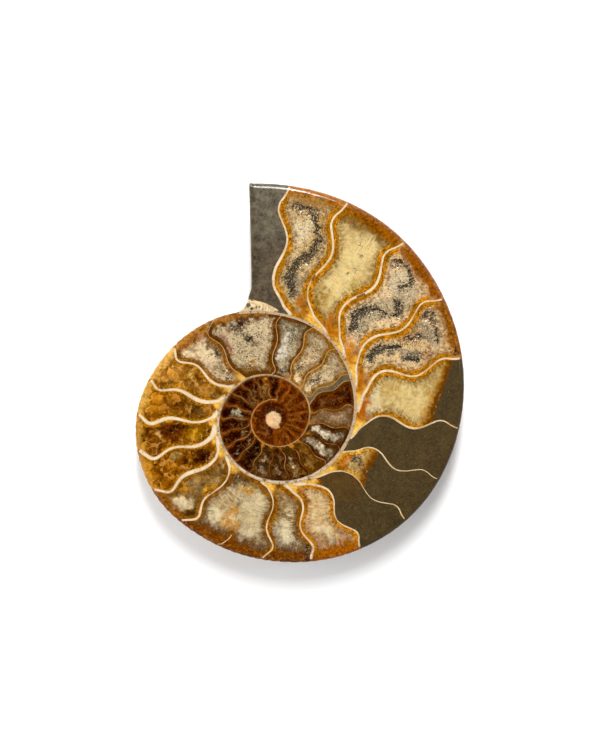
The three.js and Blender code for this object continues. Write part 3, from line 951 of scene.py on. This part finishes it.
def lines_distance(lines, points):
    """Distance of points to the nearest of several open lines, and how far along it that is."""
    table = np.vstack(lines)
    ahead = np.vstack([point for line in lines for point in (line[1:], line[-1:])])
    behind = np.vstack([point for line in lines for point in (line[:1], line[:-1])])
    reach = np.concatenate([
        LINE_SHIFT * number + np.concatenate([[0], np.cumsum(np.linalg.norm(np.diff(line, axis=0), axis=1))])
        for number, line in enumerate(lines)
    ])
    at, _ = nearest(tree_of(table), points)
    best = np.full(len(points), FAR)
    along = reach[at]
    for other, way in ((ahead, 1), (behind, -1)):
        a, b = table[at], other[at]
        gap, share = segment_distance(points, a, b)
        along = np.where(gap < best - 1e-9, reach[at] + way * share * np.linalg.norm(b - a, axis=1), along)
        best = np.minimum(best, gap)
    return best, along


def bumps(points, size):
    """A rough value from 0 to 1 at every point."""
    return np.array([0.5 + 0.5 * noise.noise(Vector((x / size, y / size, 3.7))) for x, y in points])


def pocket_depth(points, pocket, rim):
    """How deep the open pockets are at each point, with uneven crystals in them."""
    depth = np.zeros(len(points))
    is_open = pocket > -POCKET_EDGE
    share = np.clip((pocket[is_open] + POCKET_EDGE) / POCKET_SLOPE, 0, 1)
    uneven = 0.35 + 0.65 * bumps(points[is_open], 0.45)
    depth[is_open] = POCKET_DEPTH * share * uneven * np.clip(rim[is_open] / 2, 0, 1)
    return depth


def rounded_place(point):
    """A key that is the same for a point of the outline in both meshes."""
    return tuple(round(float(v), 3) for v in point)


def joined(flat, back, on_loop):
    """Number of each point of the underside in the whole mesh, and the points that only it has."""
    number = {rounded_place(point): i for i, point in enumerate(flat)}
    index, kept = [], []
    for i, point in enumerate(back):
        shared = number.get(rounded_place(point)) if on_loop[i] else None
        index.append(len(flat) + len(kept) if shared is None else shared)
        if shared is None:
            kept.append(i)
    return np.array(index), kept


def ammonite_mesh():
    """Positions, triangles, their finishes, and the numbers and colours of the whole stone's points."""
    loop, rounding = outline()
    flat, faces, kind, lines = cut_face(loop, rounding)
    look = chamber_look(flat)
    rim, at = loop_distance(loop, flat)
    bevel = rounding[at]
    inset = np.clip(bevel - rim, 0, None)
    height = np.sqrt(bevel**2 - inset**2) - bevel - pocket_depth(flat, look["pocket"], rim)

    back, back_faces, mouth = underside_points(loop)
    depth, growth, place = underside(back, lines_distance([mouth], back)[0])
    index, kept = joined(flat, back, loop_distance(loop, back)[0] < 1e-3)
    spot = np.vstack([np.column_stack([flat, height]), np.column_stack([back[kept], -depth[kept]])])
    spot[:, :2] = (spot[:, :2] - (loop.min(0) + loop.max(0)) / 2) * FIT
    spot[:, 2] += THICKNESS
    broken = lines_distance([mouth], back[back_faces].mean(1))[0] < BREAK_BAND
    all_faces = np.vstack([faces, index[back_faces][:, ::-1]])
    all_kinds = np.concatenate([kind, np.where(broken, BREAK, SHELL)])

    edge, along = lines_distance(lines, flat)
    rim_is_nearer = RIM_SHARE * rim < edge
    along = np.where(rim_is_nearer, SPACING * at - 100, along)
    edge = np.minimum(edge, RIM_SHARE * rim)
    numbers = {
        "edge": (edge, AWAY), "rim": (rim, AWAY), "along": (along, 0), "mud": (look["mud"], CLEAN),
        "pocket": (look["pocket"], NO_POCKET), "growth": (look["angle"], growth[kept]),
        "place": (look["across"], place[kept]),
    }
    numbers |= {name: (look[name], 0) for name in ("lining_width", "grain", "block", "stain", "glow")}
    extra = len(kept)
    values = {
        name: np.concatenate([top, np.broadcast_to(under, extra)]) for name, (top, under) in numbers.items()
    }
    brown = np.tile(linear(BROWN), (extra, 1))
    colours = {name: np.vstack([look[name], brown]) for name in ("fill", "lining")}
    return spot * MM, all_faces, all_kinds, values, colours


def build_mesh(name):
    """The whole stone as a Blender mesh."""
    spot, faces, kinds, values, colours = ammonite_mesh()
    mesh = bpy.data.meshes.new(name)
    mesh.from_pydata(spot.tolist(), [], faces.tolist())
    mesh.shade_smooth()
    mesh.polygons.foreach_set("material_index", kinds.astype(np.int32))
    for key, numbers in values.items():
        layer = mesh.attributes.new(key, "FLOAT", "POINT")
        layer.data.foreach_set("value", numbers.astype(np.float32))
    for key, numbers in colours.items():
        layer = mesh.attributes.new(key, "FLOAT_COLOR", "POINT")
        opaque = np.column_stack([numbers, np.ones(len(numbers))])
        layer.data.foreach_set("color", opaque.astype(np.float32).ravel())
    bake_map(mesh, faces, kinds, spot)
    mesh.update()
    mesh.set_sharp_from_angle(angle=math.radians(50))
    return mesh


# The charts' sizes and middles, as shares of the bake.
TOP_SIZE, TOP_MIDDLE = 0.72, (0.325, 0.37)
BACK_SIZE, BACK_MIDDLE = 0.42, (0.805, 0.775)


def bake_map(mesh, faces, kinds, spot):
    """Two flat charts: the cut face large, and the underside smaller in the far corner."""
    layer = mesh.uv_layers.new(name="OFBake")
    size = 2 * CAD_BOX[1][1]
    top = spot[:, :2] / size * TOP_SIZE + TOP_MIDDLE
    back = spot[:, :2] * (-1, 1) / size * BACK_SIZE + BACK_MIDDLE
    where = np.where(np.isin(kinds, (SHELL, BREAK))[:, None, None], back[faces], top[faces])
    layer.data.foreach_set("uv", where.reshape(-1).astype(np.float32))


# ---------------------------------------------------------------- finishes


class Nodes:
    """A few words for building the nodes of a material or of the world."""

    def __init__(self, owner, shader="Principled BSDF", coordinates="Object"):
        owner.use_nodes = True
        self.owner = owner
        self.tree = owner.node_tree
        self.shader = self.tree.nodes[shader]
        self.place = self.add("ShaderNodeTexCoord").outputs[coordinates]

    def put(self, socket, value):
        """Links or sets one socket. Three numbers for a colour socket are a screen colour."""
        if isinstance(value, bpy.types.NodeSocket):
            self.tree.links.new(value, socket)
        elif isinstance(value, tuple) and len(value) == 3 and socket.type == "RGBA":
            socket.default_value = (*linear(value), 1)
        else:
            socket.default_value = value

    def add(self, kind, *values, **settings):
        """A new node with its settings, and values for its first sockets."""
        node = self.tree.nodes.new(kind)
        for key, value in settings.items():
            setattr(node, key, value)
        for socket, value in zip(node.inputs, values):
            self.put(socket, value)
        return node

    def into(self, node, **values):
        """Sets sockets of a node by their names."""
        for key, value in values.items():
            self.put(node.inputs[key.replace("_", " ")], value)
        return node

    def set(self, **values):
        """Sets sockets of the shader by their names."""
        self.into(self.shader, **values)

    def number(self, name):
        """A number that the mesh has at each point."""
        return self.add("ShaderNodeAttribute", attribute_name=name).outputs["Fac"]

    def colour(self, name):
        """A colour that the mesh has at each point."""
        return self.add("ShaderNodeAttribute", attribute_name=name).outputs["Color"]

    def math(self, operation, a, b=0.0, clamp=False):
        """One step of arithmetic on two numbers."""
        return self.add("ShaderNodeMath", a, b, operation=operation, use_clamp=clamp).outputs[0]

    def total(self, first, *others):
        """The sum of all the numbers."""
        for other in others:
            first = self.math("ADD", first, other)
        return first

    def times(self, first, *others):
        """The product of all the numbers."""
        for other in others:
            first = self.math("MULTIPLY", first, other)
        return first

    def minus(self, a, b):
        """The first number less the second."""
        return self.math("SUBTRACT", a, b)

    def most(self, a, b):
        """The larger of two numbers."""
        return self.math("MAXIMUM", a, b)

    def ramp(self, value, low, high, to_low=0.0, to_high=1.0, kind="SMOOTHSTEP"):
        """From to_low at low to to_high at high."""
        numbers = (value, low, high, to_low, to_high)
        return self.add("ShaderNodeMapRange", *numbers, interpolation_type=kind).outputs[0]

    def fade(self, value, low, high, strength=1.0):
        """From the strength at low to 0 at high."""
        return self.ramp(value, low, high, strength, 0.0)

    def near(self, value, middle, inner, outer, strength=1.0):
        """The strength where a value is within inner of the middle, fading to 0 at outer."""
        return self.fade(self.math("ABSOLUTE", self.minus(value, middle)), inner, outer, strength)

    def mix(self, share, a, b):
        """A colour that goes from a to b as the share goes from 0 to 1."""
        node = self.add("ShaderNodeMix", data_type="RGBA")
        for number, value in ((0, share), (6, a), (7, b)):
            self.put(node.inputs[number], value)
        return node.outputs[2]

    def over(self, colour, *layers):
        """A colour with others laid over it in turn, each given as its share and its colour."""
        for share, layer in layers:
            colour = self.mix(share, colour, layer)
        return colour

    def noise(self, size, detail=2.0, rough=0.5, place=None, output="Fac"):
        """Noise with features of a size in millimetres."""
        node = self.add("ShaderNodeTexNoise")
        self.into(node, Vector=place or self.place, Scale=1 / (size * MM), Detail=detail, Roughness=rough)
        return node.outputs[output]

    def swing(self, size, detail=2.0, rough=0.5, place=None):
        """Noise around 0 that mostly stays between -1 and 1."""
        return self.times(self.minus(self.noise(size, detail, rough, place), 0.5), 5.0)

    def cells(self, size, output="Distance", feature="F1", place=None):
        """Cells with a size in millimetres."""
        node = self.add("ShaderNodeTexVoronoi", feature=feature)
        return self.into(node, Vector=place or self.place, Scale=1 / (size * MM)).outputs[output]

    def vector(self, operation, a, b):
        """One step of arithmetic on two places or colours."""
        node = self.add("ShaderNodeVectorMath", a, b, operation=operation)
        return node.outputs["Value" if operation == "DOT_PRODUCT" else "Vector"]

    def scale(self, colour, amount):
        """A colour times a number."""
        node = self.add("ShaderNodeVectorMath", colour, operation="SCALE")
        return self.into(node, Scale=amount).outputs[0]

    def grey(self, colour):
        """The brightness of a colour."""
        return self.add("ShaderNodeRGBToBW", colour).outputs[0]

    def bump(self, height, depth):
        """The normal of a relief whose height of 1 is a depth in millimetres."""
        return self.into(self.add("ShaderNodeBump"), Distance=depth * MM, Height=height).outputs[0]


UNSCALED = 1 / MM  # a size that leaves the place as it is
LARGE_BLOCK = 3.4
SMALL_BLOCK = 1.6
BLOCK_WARP = 1.8


class Chambers(Nodes):
    """The finish of the chambers, with the numbers and noises that its layers share."""

    def __init__(self, name):
        super().__init__(bpy.data.materials.new(name))
        for number in ("edge", "rim", "along", "pocket", "grain", "block", "lining_width", "growth"):
            setattr(self, number, self.number(number))
        self.fill = self.colour("fill")
        self.tint = self.colour("lining")
        self.fine = self.swing(0.42, 2.0, 0.7)
        self.crystal = self.swing(0.9, 3.0, 0.7)
        self.cloud = self.swing(3.6, 3.0, 0.55)
        self.spikes = self.drawn(0.42, 1.0, rough=0.7)
        self.speck = self.total(self.swing(0.46, 2.0, 0.75), self.times(self.spikes, 0.6))

        self.plain = self.math("SUBTRACT", 1.0, self.block, clamp=True)
        self.glassy = self.times(self.fade(self.grain, 0.35, 0.65), self.plain)
        self.aged = self.fade(self.growth, 125.0, 135.0)
        self.has_lining = self.ramp(self.lining_width, 0.05, 0.3)
        self.near_pocket = self.ramp(self.pocket, -1.9, 0.7)
        self.opened = self.ramp(self.total(self.pocket, self.times(self.speck, 0.75)), 0.2, 0.9)

        ragged = self.total(self.edge, self.times(self.swing(2.4, 2.0), 0.35), self.times(self.crystal, 0.16))
        self.ragged = self.total(ragged, self.times(self.spikes, 0.2))
        self.beyond = self.minus(self.ragged, self.lining_width)
        self.core = self.ramp(self.beyond, 0.5, 2.6)
        shaking = self.times(self.swing(1.6, 3.0), 0.6), self.times(self.swing(0.5, 2.0), 0.15)
        self.mud = self.total(self.number("mud"), *shaking)
        self.muddy = self.ramp(self.mud, -0.1, 0.1)

    def rays(self, wide, long):
        """A place for noise that is drawn out away from the nearest wall, as crystals grow."""
        place = self.math("DIVIDE", self.along, wide), self.math("DIVIDE", self.edge, long)
        return self.add("ShaderNodeCombineXYZ", *place).outputs[0]

    def drawn(self, wide, long, detail=2.0, rough=0.6):
        """Noise around 0 that is drawn out away from the nearest wall."""
        return self.swing(UNSCALED, detail, rough, place=self.rays(wide, long))


def crystals(n):
    """The fill's own colour, uneven by fibres, crystals and clouds."""
    lively = n.total(0.15, n.grain)
    near_wall = n.total(1.0, n.times(n.core, -0.6))
    fibrous = n.total(0.2, n.times(n.glassy, 0.3))
    tone = n.total(
        0.96, n.times(n.core, 0.08), n.times(n.drawn(0.6, 4.0), near_wall, fibrous, n.plain),
        n.times(n.aged, n.plain, n.swing(2.4, 3.0, 0.6), 0.16),
        n.times(n.crystal, 0.24, lively), n.times(n.fine, 0.2, lively), n.times(n.cloud, 0.14),
    )
    return n.scale(n.fill, tone)


def glassy_layers(n):
    """Olive shadows between the fibres, bright crystals in the middle, and frosty needles."""
    shadow = n.ramp(n.drawn(1.1, 1.5, 1.5, 0.5), 0.05, 0.6)
    bright = n.ramp(n.swing(1.5, 3.0), -0.2, 0.9)
    needles = n.drawn(0.34, 2.6)
    white = n.ramp(n.total(needles, n.times(n.cloud, 0.7)), 0.1, 1.1, 0.0, 0.8)
    frosty = n.times(n.fade(n.growth, 312.0, 318.0), n.glassy, n.ramp(n.beyond, 0.2, 1.4))
    return (
        (n.times(shadow, n.near(n.beyond, 1.0, 0.4, 1.6), n.glassy, 0.6), n.scale(n.fill, 0.42)),
        (n.times(bright, n.core, n.glassy, 0.6), (236, 218, 158)),
        (n.times(n.fade(needles, -0.9, -0.1, 0.5), frosty), n.scale(n.fill, 0.5)),
        (n.times(white, frosty), (240, 228, 202)),
    )


def sugary_layers(n):
    """A row of brown clouds that follows the lining, and light and dark crystals in the middle."""
    row = n.times(n.near(n.beyond, 0.75, 0.2, 0.7), n.grain, n.plain)
    pale = n.times(n.near(n.beyond, 1.7, 0.2, 0.8), n.grain, n.plain)
    lights = n.ramp(n.total(n.swing(0.5, 2.0, 0.8), n.times(n.spikes, 0.5)), 0.1, 0.9)
    inward = n.total(0.3, n.times(n.core, 0.6), n.times(n.near_pocket, 0.2))
    crowded = n.times(n.grain, n.core, n.total(0.3, n.times(n.aged, 0.18)))
    density = n.total(-0.15, crowded, n.times(n.near_pocket, 1.05))
    dark = n.ramp(n.total(n.speck, density), 0.5, 1.0)
    sugary = n.most(n.ramp(n.grain, 0.3, 0.8), n.times(n.near_pocket, 0.8))
    blotch = n.times(n.ramp(n.swing(1.3, 3.0, 0.7), 0.3, 0.85), n.ramp(n.grain, 0.5, 0.8))
    return (
        (n.times(row, n.ramp(n.swing(1.3, 2.0), -0.4, 0.4), 0.8), (128, 94, 64)),
        (n.times(pale, n.ramp(n.crystal, -0.6, 0.5), 0.4), (226, 204, 168)),
        (n.times(lights, n.grain, inward, n.plain), (250, 234, 204)),
        (n.times(dark, sugary, n.plain, 0.9), (56, 43, 28)),
        (n.times(blotch, n.plain, n.core, 0.75), (104, 78, 48)),
    )


def blocky(n):
    """Translucent calcite in large blocks, each lit a little differently across."""
    warp = n.scale(n.noise(BLOCK_WARP, output="Color"), BLOCK_WARP * MM)
    warped = n.vector("ADD", n.place, warp)
    tone = n.total(
        0.86, n.times(n.cloud, 0.24), n.times(n.crystal, 0.14), n.times(n.fine, 0.12)
    )
    for size, contrast in ((LARGE_BLOCK, 0.85), (SMALL_BLOCK, 0.4)):
        shade = n.cells(size, "Color", place=warped)
        away = n.vector("SUBTRACT", warped, n.cells(size, "Position", place=warped))
        slope = n.vector("DOT_PRODUCT", away, n.vector("SUBTRACT", shade, (0.5, 0.5, 0.5)))
        level = n.times(n.minus(n.grey(shade), 0.5), contrast)
        tone = n.total(tone, level, n.times(slope, 1 / (size * MM), 2 * contrast))
    old = n.fade(n.growth, 20.0, 60.0)
    uneven = n.total(n.times(n.swing(0.7, 3.0, 0.7), 0.85), n.times(n.fine, 0.4), -0.2)
    tone = n.total(tone, n.times(old, uneven))
    reddish = n.vector("MULTIPLY", n.fill, (1.0, 0.76, 0.5))
    lit = n.mix(n.fade(tone, 0.35, 0.95, 0.9), n.fill, reddish)
    golden = n.mix(n.ramp(old, 0.0, 1.0, 0.4, 0.08), n.scale(n.fill, 2.2), (222, 168, 84))
    glint = n.mix(n.ramp(old, 0.0, 1.0, 0.5, 0.15), n.scale(n.fill, 2.4), (224, 180, 112))
    seams, small_seams = (
        n.fade(n.cells(size, feature="DISTANCE_TO_EDGE", place=warped), 0.0, width)
        for size, width in ((LARGE_BLOCK, 0.07), (SMALL_BLOCK, 0.09))
    )
    where = n.swing(2.4, 2.0)
    all_seams = n.most(seams, n.times(small_seams, 0.6))
    return n.over(
        n.scale(lit, n.most(tone, 0.2)),
        (n.ramp(tone, 1.1, 1.7, 0.0, 0.6), golden),
        (n.times(seams, n.ramp(where, 0.2, -0.4), 0.7), n.scale(n.fill, 0.3)),
        (n.times(all_seams, n.ramp(where, -0.1, 0.6), 0.8), glint),
    )


def lining_layers(n):
    """Amber lining: golden beads between dotted brown lines."""
    beads = n.grey(n.cells(UNSCALED, "Color", place=n.rays(0.8, 0.6)))
    band = n.total(
        0.66, n.times(beads, 0.6), n.times(n.crystal, 0.3), n.times(n.fine, 0.2),
        n.times(n.cloud, 0.2),
    )
    golden = n.ramp(n.total(beads, n.times(n.swing(3.0, 2.0), 0.4)), 0.55, 1.1)
    shady = n.ramp(n.swing(3.4, 3.0), 0.1, 0.9)
    lining = n.over(
        n.scale(n.tint, band),
        (n.times(golden, 0.7), n.scale(n.tint, 1.9)),
        (n.times(shady, 0.6), n.scale(n.tint, 0.5)),
    )
    share = n.math("DIVIDE", n.ragged, n.most(n.lining_width, 0.1))
    for middle, reach, strength in ((0.5, 0.16, 0.75), (0.0, 0.14, 0.8)):
        line = n.near(share, middle, 0.03, reach, strength)
        lining = n.mix(n.times(line, n.ramp(n.swing(0.6, 1.0), -0.4, 0.3)), lining, (92, 50, 8))
    border = n.times(n.near(n.beyond, 0.0, 0.04, 0.4), n.has_lining)
    return (
        (n.times(n.fade(n.beyond, -0.5, 0.3), n.has_lining), lining),
        (n.times(border, n.ramp(n.swing(0.6, 1.0), -0.3, 0.3), 0.8), (92, 58, 18)),
    )


def mud_layers(n):
    """Ochre and brown calcite towards the mud, the gritty mud itself and its dark border."""
    mouth = n.ramp(n.growth, 425.0, 440.0)
    tone = n.total(
        1.0, n.total(
            n.times(n.swing(0.45, 2.0, 0.75), n.total(0.26, n.times(mouth, 0.12))),
            n.times(n.swing(1.1, 2.0, 0.7), 0.14),
        ),
        n.times(n.swing(2.2, 2.0), 0.1), n.times(n.swing(6.0, 3.0), 0.14),
        n.times(mouth, n.swing(2.2, 4.0, 0.75), 0.34),
    )
    mud = n.over(
        n.scale(n.fill, tone),
        (n.ramp(n.swing(0.6, 2.0), 0.8, 1.2, 0.0, 0.35), (150, 128, 92)),
        (n.ramp(n.swing(0.7, 2.0), 0.7, 1.1, 0.0, 0.7), (40, 30, 18)),
    )
    ochre = n.mix(n.ramp(n.crystal, -0.6, 0.6), (166, 110, 32), (200, 150, 62))
    brown = n.mix(n.ramp(n.crystal, -0.4, 0.8), (104, 58, 12), (150, 94, 24))
    return (
        (n.ramp(n.mud, -4.6, -1.2, 0.0, 0.8), ochre),
        (n.ramp(n.mud, -3.0, -0.8, 0.0, 0.9), brown),
        (n.muddy, mud),
        (n.near(n.mud, -0.3, 0.2, 0.9, 0.85), (104, 58, 12)),
    )


def pocket_painted_shade(n):
    """Painted shade in the deepest parts of the open pockets: nearly black between pale crystal tips."""
    # painted shade: a near-black colour laid into the pocket hollows
    return n.times(n.opened, 0.7), (50, 38, 24)


def glow_layer(n):
    """Calcite that light comes through, at the feet of the septa and the rim."""
    calm = n.times(n.ramp(n.growth, 140.0, 150.0), n.fade(n.growth, 205.0, 220.0))
    near_rim = n.times(n.fade(n.rim, 2.5, 5.0), n.ramp(calm, 0.0, 1.0, 1.0, 0.2))
    mottled = n.total(n.times(n.crystal, 0.45), n.times(n.fine, 0.3))
    mottled = n.times(mottled, n.total(0.5, n.times(near_rim, 0.6)))
    burnt = n.ramp(n.swing(1.7, 3.0, 0.65), 0.0, 0.9, 0.0, 0.7)
    light = n.ramp(n.swing(1.2, 3.0, 0.65), 0.15, 0.9, 0.0, 0.8)
    flecks = n.times(n.ramp(n.swing(0.8, 3.0, 0.7), 0.0, 0.8), n.ramp(n.rim, 0.3, 3.2, 0.75, 0.2))
    glowing = n.over(
        n.scale(n.fill, n.total(0.98, mottled, n.times(n.cloud, 0.3))),
        (n.times(burnt, n.total(0.3, n.times(near_rim, 0.7))), n.scale(n.fill, 0.4)),
        (light, n.scale(n.fill, 1.6)),
        (n.times(flecks, near_rim), (208, 144, 44)),
    )
    glow = n.times(n.ramp(n.number("glow"), 0.1, 0.8), n.fade(n.mud, -1.0, 0.0))
    return n.times(glow, n.minus(1.0, n.opened), 0.85), glowing


def rim_pale_edge_and_painted_highlight(n):
    """The last bit of the rim is pale: partly the cut shell wall, and partly a painted highlight on the rim's
    rounding.
    """
    pale_edge_and_highlight_share = n.times(n.fade(n.rim, 0.1, 0.75), n.ramp(n.swing(2.2, 3.0), -0.5, 0.6, 0.1, 1.0))
    # painted highlight: on the older part of the rim the pale edge turns cream, in place of the light that
    # the rounding catches
    pale = n.mix(n.fade(n.growth, 205.0, 225.0, 0.6), n.scale(n.tint, 1.9), (232, 200, 156))
    return n.times(pale_edge_and_highlight_share, n.has_lining, 0.5), pale


def chamber_finish():
    """All layers of the chambers, with their gloss and the relief of the crystals."""
    n = Chambers("chamber fill")
    colour = n.over(
        crystals(n), *glassy_layers(n), (n.block, blocky(n)), *sugary_layers(n), *lining_layers(n),
        *mud_layers(n), pocket_painted_shade(n), glow_layer(n), rim_pale_edge_and_painted_highlight(n),
    )
    # The white studio greys what it is mirrored in, so the calcite's own colour is deeper.
    deep = n.vector("SUBTRACT", n.vector("MULTIPLY", colour, (1.0, 0.97, 0.86)), (0.002, 0.003, 0.004))
    colour = n.mix(n.muddy, n.vector("MAXIMUM", deep, (0.0, 0.0, 0.0)), colour)
    rough = n.most(n.times(n.muddy, n.ramp(n.rim, 0.5, 2.5, 0.1, 0.25)), n.times(n.opened, 0.5))
    rim_shine = n.most(n.ramp(n.growth, 385.0, 400.0, 0.05, 0.42), n.times(n.muddy, 0.13))
    shine = n.ramp(n.rim, 0.2, 2.0, rim_shine, 0.3)
    relief = n.bump(n.times(n.crystal, n.total(n.opened, 0.04)), 0.15)
    n.set(Base_Color=colour, Roughness=n.most(rough, 0.1), IOR=1.5, Specular_IOR_Level=shine, Normal=relief)
    return n.owner


def septum_finish(name, main, dark, specks, tints=(), veined=False):
    """Polished calcite of the septa and walls. Tints are laid over it between two growth angles."""
    n = Nodes(bpy.data.materials.new(name))
    colour = n.mix(n.ramp(n.swing(5.0), -0.5, 0.7), main, dark)
    colour = n.mix(n.ramp(n.number("edge"), 0.1, 0.32, 0.0, 0.6), colour, (255, 236, 204))
    if veined:
        colour = n.mix(n.ramp(n.swing(1.6, 2.0), -0.1, 0.9, 0.0, 0.8), colour, (84, 42, 16))
    for start, end, before, after, tint in tints:
        colour = n.mix(n.ramp(n.number("growth"), start, end, before, after), colour, tint)
    stain = n.ramp(n.total(n.number("stain"), n.times(n.swing(0.7), 0.1)), 0.4, 0.8, 0.0, 0.9)
    colour = n.over(
        n.scale(colour, n.total(1.0, n.times(n.swing(1.3, 3.0, 0.6), 0.1))),
        (n.ramp(n.swing(0.6, 2.0), 0.3, 0.9, 0.0, specks), (84, 60, 34)),
        (stain, (112, 52, 22)),
    )
    n.set(Base_Color=colour, Roughness=0.18, IOR=1.5, Specular_IOR_Level=0.3)
    return n.owner


def shell_finish():
    """Natural shell: growth lines, tan and grey patches, and the mould with sutures where it is worn off."""
    n = Nodes(bpy.data.materials.new("natural shell"))
    bend = n.total(n.number("growth"), n.times(n.math("POWER", n.number("place"), 2.0), -9.0))
    wander = n.total(n.times(bend, 1.1), n.times(n.noise(9.0), 1.4))
    lines = n.add("ShaderNodeTexNoise", noise_dimensions="1D")
    stripe = n.into(lines, W=wander, Detail=3.0).outputs["Fac"]
    tan = n.mix(n.ramp(n.noise(14.0, 4.0, 0.6), 0.38, 0.62), (150, 112, 70), (186, 158, 118))
    tan = n.mix(n.ramp(n.noise(8.0, 3.0), 0.55, 0.7, 0.0, 0.8), tan, (104, 86, 62))
    frill = n.times(n.minus(n.noise(2.2, 4.0, 0.7), 0.5), 9.0)
    suture = n.math("ABSOLUTE", n.math("SINE", n.times(n.total(bend, frill), 0.176)))
    mould = n.mix(n.ramp(n.noise(3.0, 4.0), 0.4, 0.6), (92, 58, 30), (128, 90, 50))
    mould = n.mix(n.fade(suture, 0.04, 0.12, 0.85), mould, (40, 26, 16))
    worn = n.ramp(n.total(n.noise(22.0, 4.0, 0.55), n.times(stripe, 0.06)), 0.56, 0.6)
    pearl = n.times(n.ramp(n.noise(11.0, 3.0), 0.52, 0.66), n.fade(worn, 0.0, 1.0, 0.7))
    colour = n.over(n.scale(tan, n.total(stripe, 0.5)), (worn, mould), (pearl, (196, 186, 172)))
    rise = n.total(n.times(stripe, 0.5), n.times(worn, -0.8), n.times(n.noise(1.0, 3.0), 0.4))
    n.set(Base_Color=colour, Roughness=n.ramp(worn, 0.0, 1.0, 0.42, 0.6), IOR=1.5, Normal=n.bump(rise, 0.25))
    return n.owner


def break_finish():
    """Plain broken mudstone."""
    n = Nodes(bpy.data.materials.new("broken mouth"))
    colour = n.mix(n.ramp(n.noise(2.5, 4.0), 0.4, 0.62), (96, 84, 64), (128, 112, 84))
    colour = n.scale(colour, n.total(n.noise(0.6, 3.0, 0.7), 0.5))
    n.set(Base_Color=colour, Roughness=0.85, IOR=1.45, Normal=n.bump(n.noise(1.2, 5.0, 0.6), 0.5))
    return n.owner


WALL_TINTS = [
    (-80.0, 40.0, 0.0, 1.0, (200, 170, 134)),
    (-350.0, -260.0, 0.95, 0.0, (200, 134, 52)),
    (-620.0, -480.0, 1.0, 0.0, (118, 58, 18)),
]
OLD_TINTS = [(0.0, 60.0, 0.0, 0.8, (206, 164, 112))]

# ---------------------------------------------------------------- the fossil

stone = bpy.data.objects.new("fossil", build_mesh("fossil"))
bpy.context.scene.collection.objects.link(stone)
for finish in (  # in the order that CHAMBER to OLDEST_SEPTUM are numbered
    chamber_finish(),
    septum_finish("septum", (236, 206, 162), (212, 174, 122), 0.3),
    septum_finish("shell wall", (184, 156, 120), (148, 124, 96), 0.75, WALL_TINTS),
    shell_finish(),
    break_finish(),
    septum_finish("old septum", (160, 114, 70), (116, 70, 32), 0.3, OLD_TINTS, veined=True),
    septum_finish("oldest septum", (140, 82, 44), (104, 52, 20), 0.3),
):
    stone.data.materials.append(finish)
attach(stone, "root")
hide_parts("ammonite")

# ---------------------------------------------------------------- floor, lights and camera

FLOOR_HALF = 3  # metres, as is all that follows
# Each light: direction (like the growth angle) and tilt from straight above in degrees, distance,
# width, height, power in watts and colour.
LIGHTS = {
    "key light": (86.5, 33, 0.9, 0.14, 0.45, 7.5, (1, 1, 1)),
    "side light": (10, 42, 0.9, 0.05, 0.3, 0.5, (0.85, 0.92, 1.0)),
    "left light": (192, 50, 0.9, 0.7, 0.6, 2.6, (1, 1, 1)),
}
CAMERA_PLACE = (0.000075, 0.000225, 0.6344)  # straight above, framed like the photo
CAMERA_LENS = 100
SENSOR = 36

corners = [(FLOOR_HALF * x, FLOOR_HALF * y, 0) for x, y in ((-1, -1), (1, -1), (1, 1), (-1, 1))]
floor_mesh = bpy.data.meshes.new("floor")
floor_mesh.from_pydata(corners, [], [(0, 1, 2, 3)])
floor = bpy.data.objects.new("floor", floor_mesh)
bpy.context.scene.collection.objects.link(floor)
white = Nodes(bpy.data.materials.new("white floor"))
white.set(Base_Color=(0.97, 0.97, 0.97, 1), Roughness=0.9, Specular_IOR_Level=0.0)
floor.data.materials.append(white.owner)


def softbox(name, azimuth, zenith, distance, width, height, power, colour):
    """A light that faces the middle of the stone."""
    data = bpy.data.lights.new(name, "AREA")
    data.shape = "RECTANGLE"
    data.size = width
    data.size_y = height
    data.energy = power
    data.color = colour
    lamp = bpy.data.objects.new(name, data)
    a, z = math.radians(azimuth), math.radians(zenith)
    way = Vector((math.sin(z) * math.cos(a), math.sin(z) * math.sin(a), math.cos(z)))
    lamp.location = way * distance
    lamp.rotation_euler = way.to_track_quat("Z", "Y").to_euler()
    bpy.context.scene.collection.objects.link(lamp)


for name, settings in LIGHTS.items():
    softbox(name, *settings)

world = bpy.data.worlds.new("studio")
bpy.context.scene.world = world
sky = Nodes(world, "Background", "Generated")
left, behind, above = sky.add("ShaderNodeSeparateXYZ", sky.place).outputs
dark_above = sky.ramp(above, 0.70, 0.93, 1.0, 0.03, "LINEAR")
brighter_left = sky.ramp(left, -0.8, 0.6, 1.35, 0.75, "LINEAR")
brighter_behind = sky.ramp(behind, -0.7, 0.5, 0.75, 1.15, "LINEAR")
sky.set(Color=(1, 1, 1, 1), Strength=sky.times(dark_above, brighter_left, brighter_behind))

eye = bpy.data.cameras.new("camera")
eye.lens = CAMERA_LENS
eye.sensor_fit = "VERTICAL"
eye.sensor_width = SENSOR
eye.sensor_height = SENSOR
camera = bpy.data.objects.new("camera", eye)
camera.location = CAMERA_PLACE
bpy.context.scene.collection.objects.link(camera)
bpy.context.scene.camera = camera
bpy.context.scene.view_settings.view_transform = "Standard"
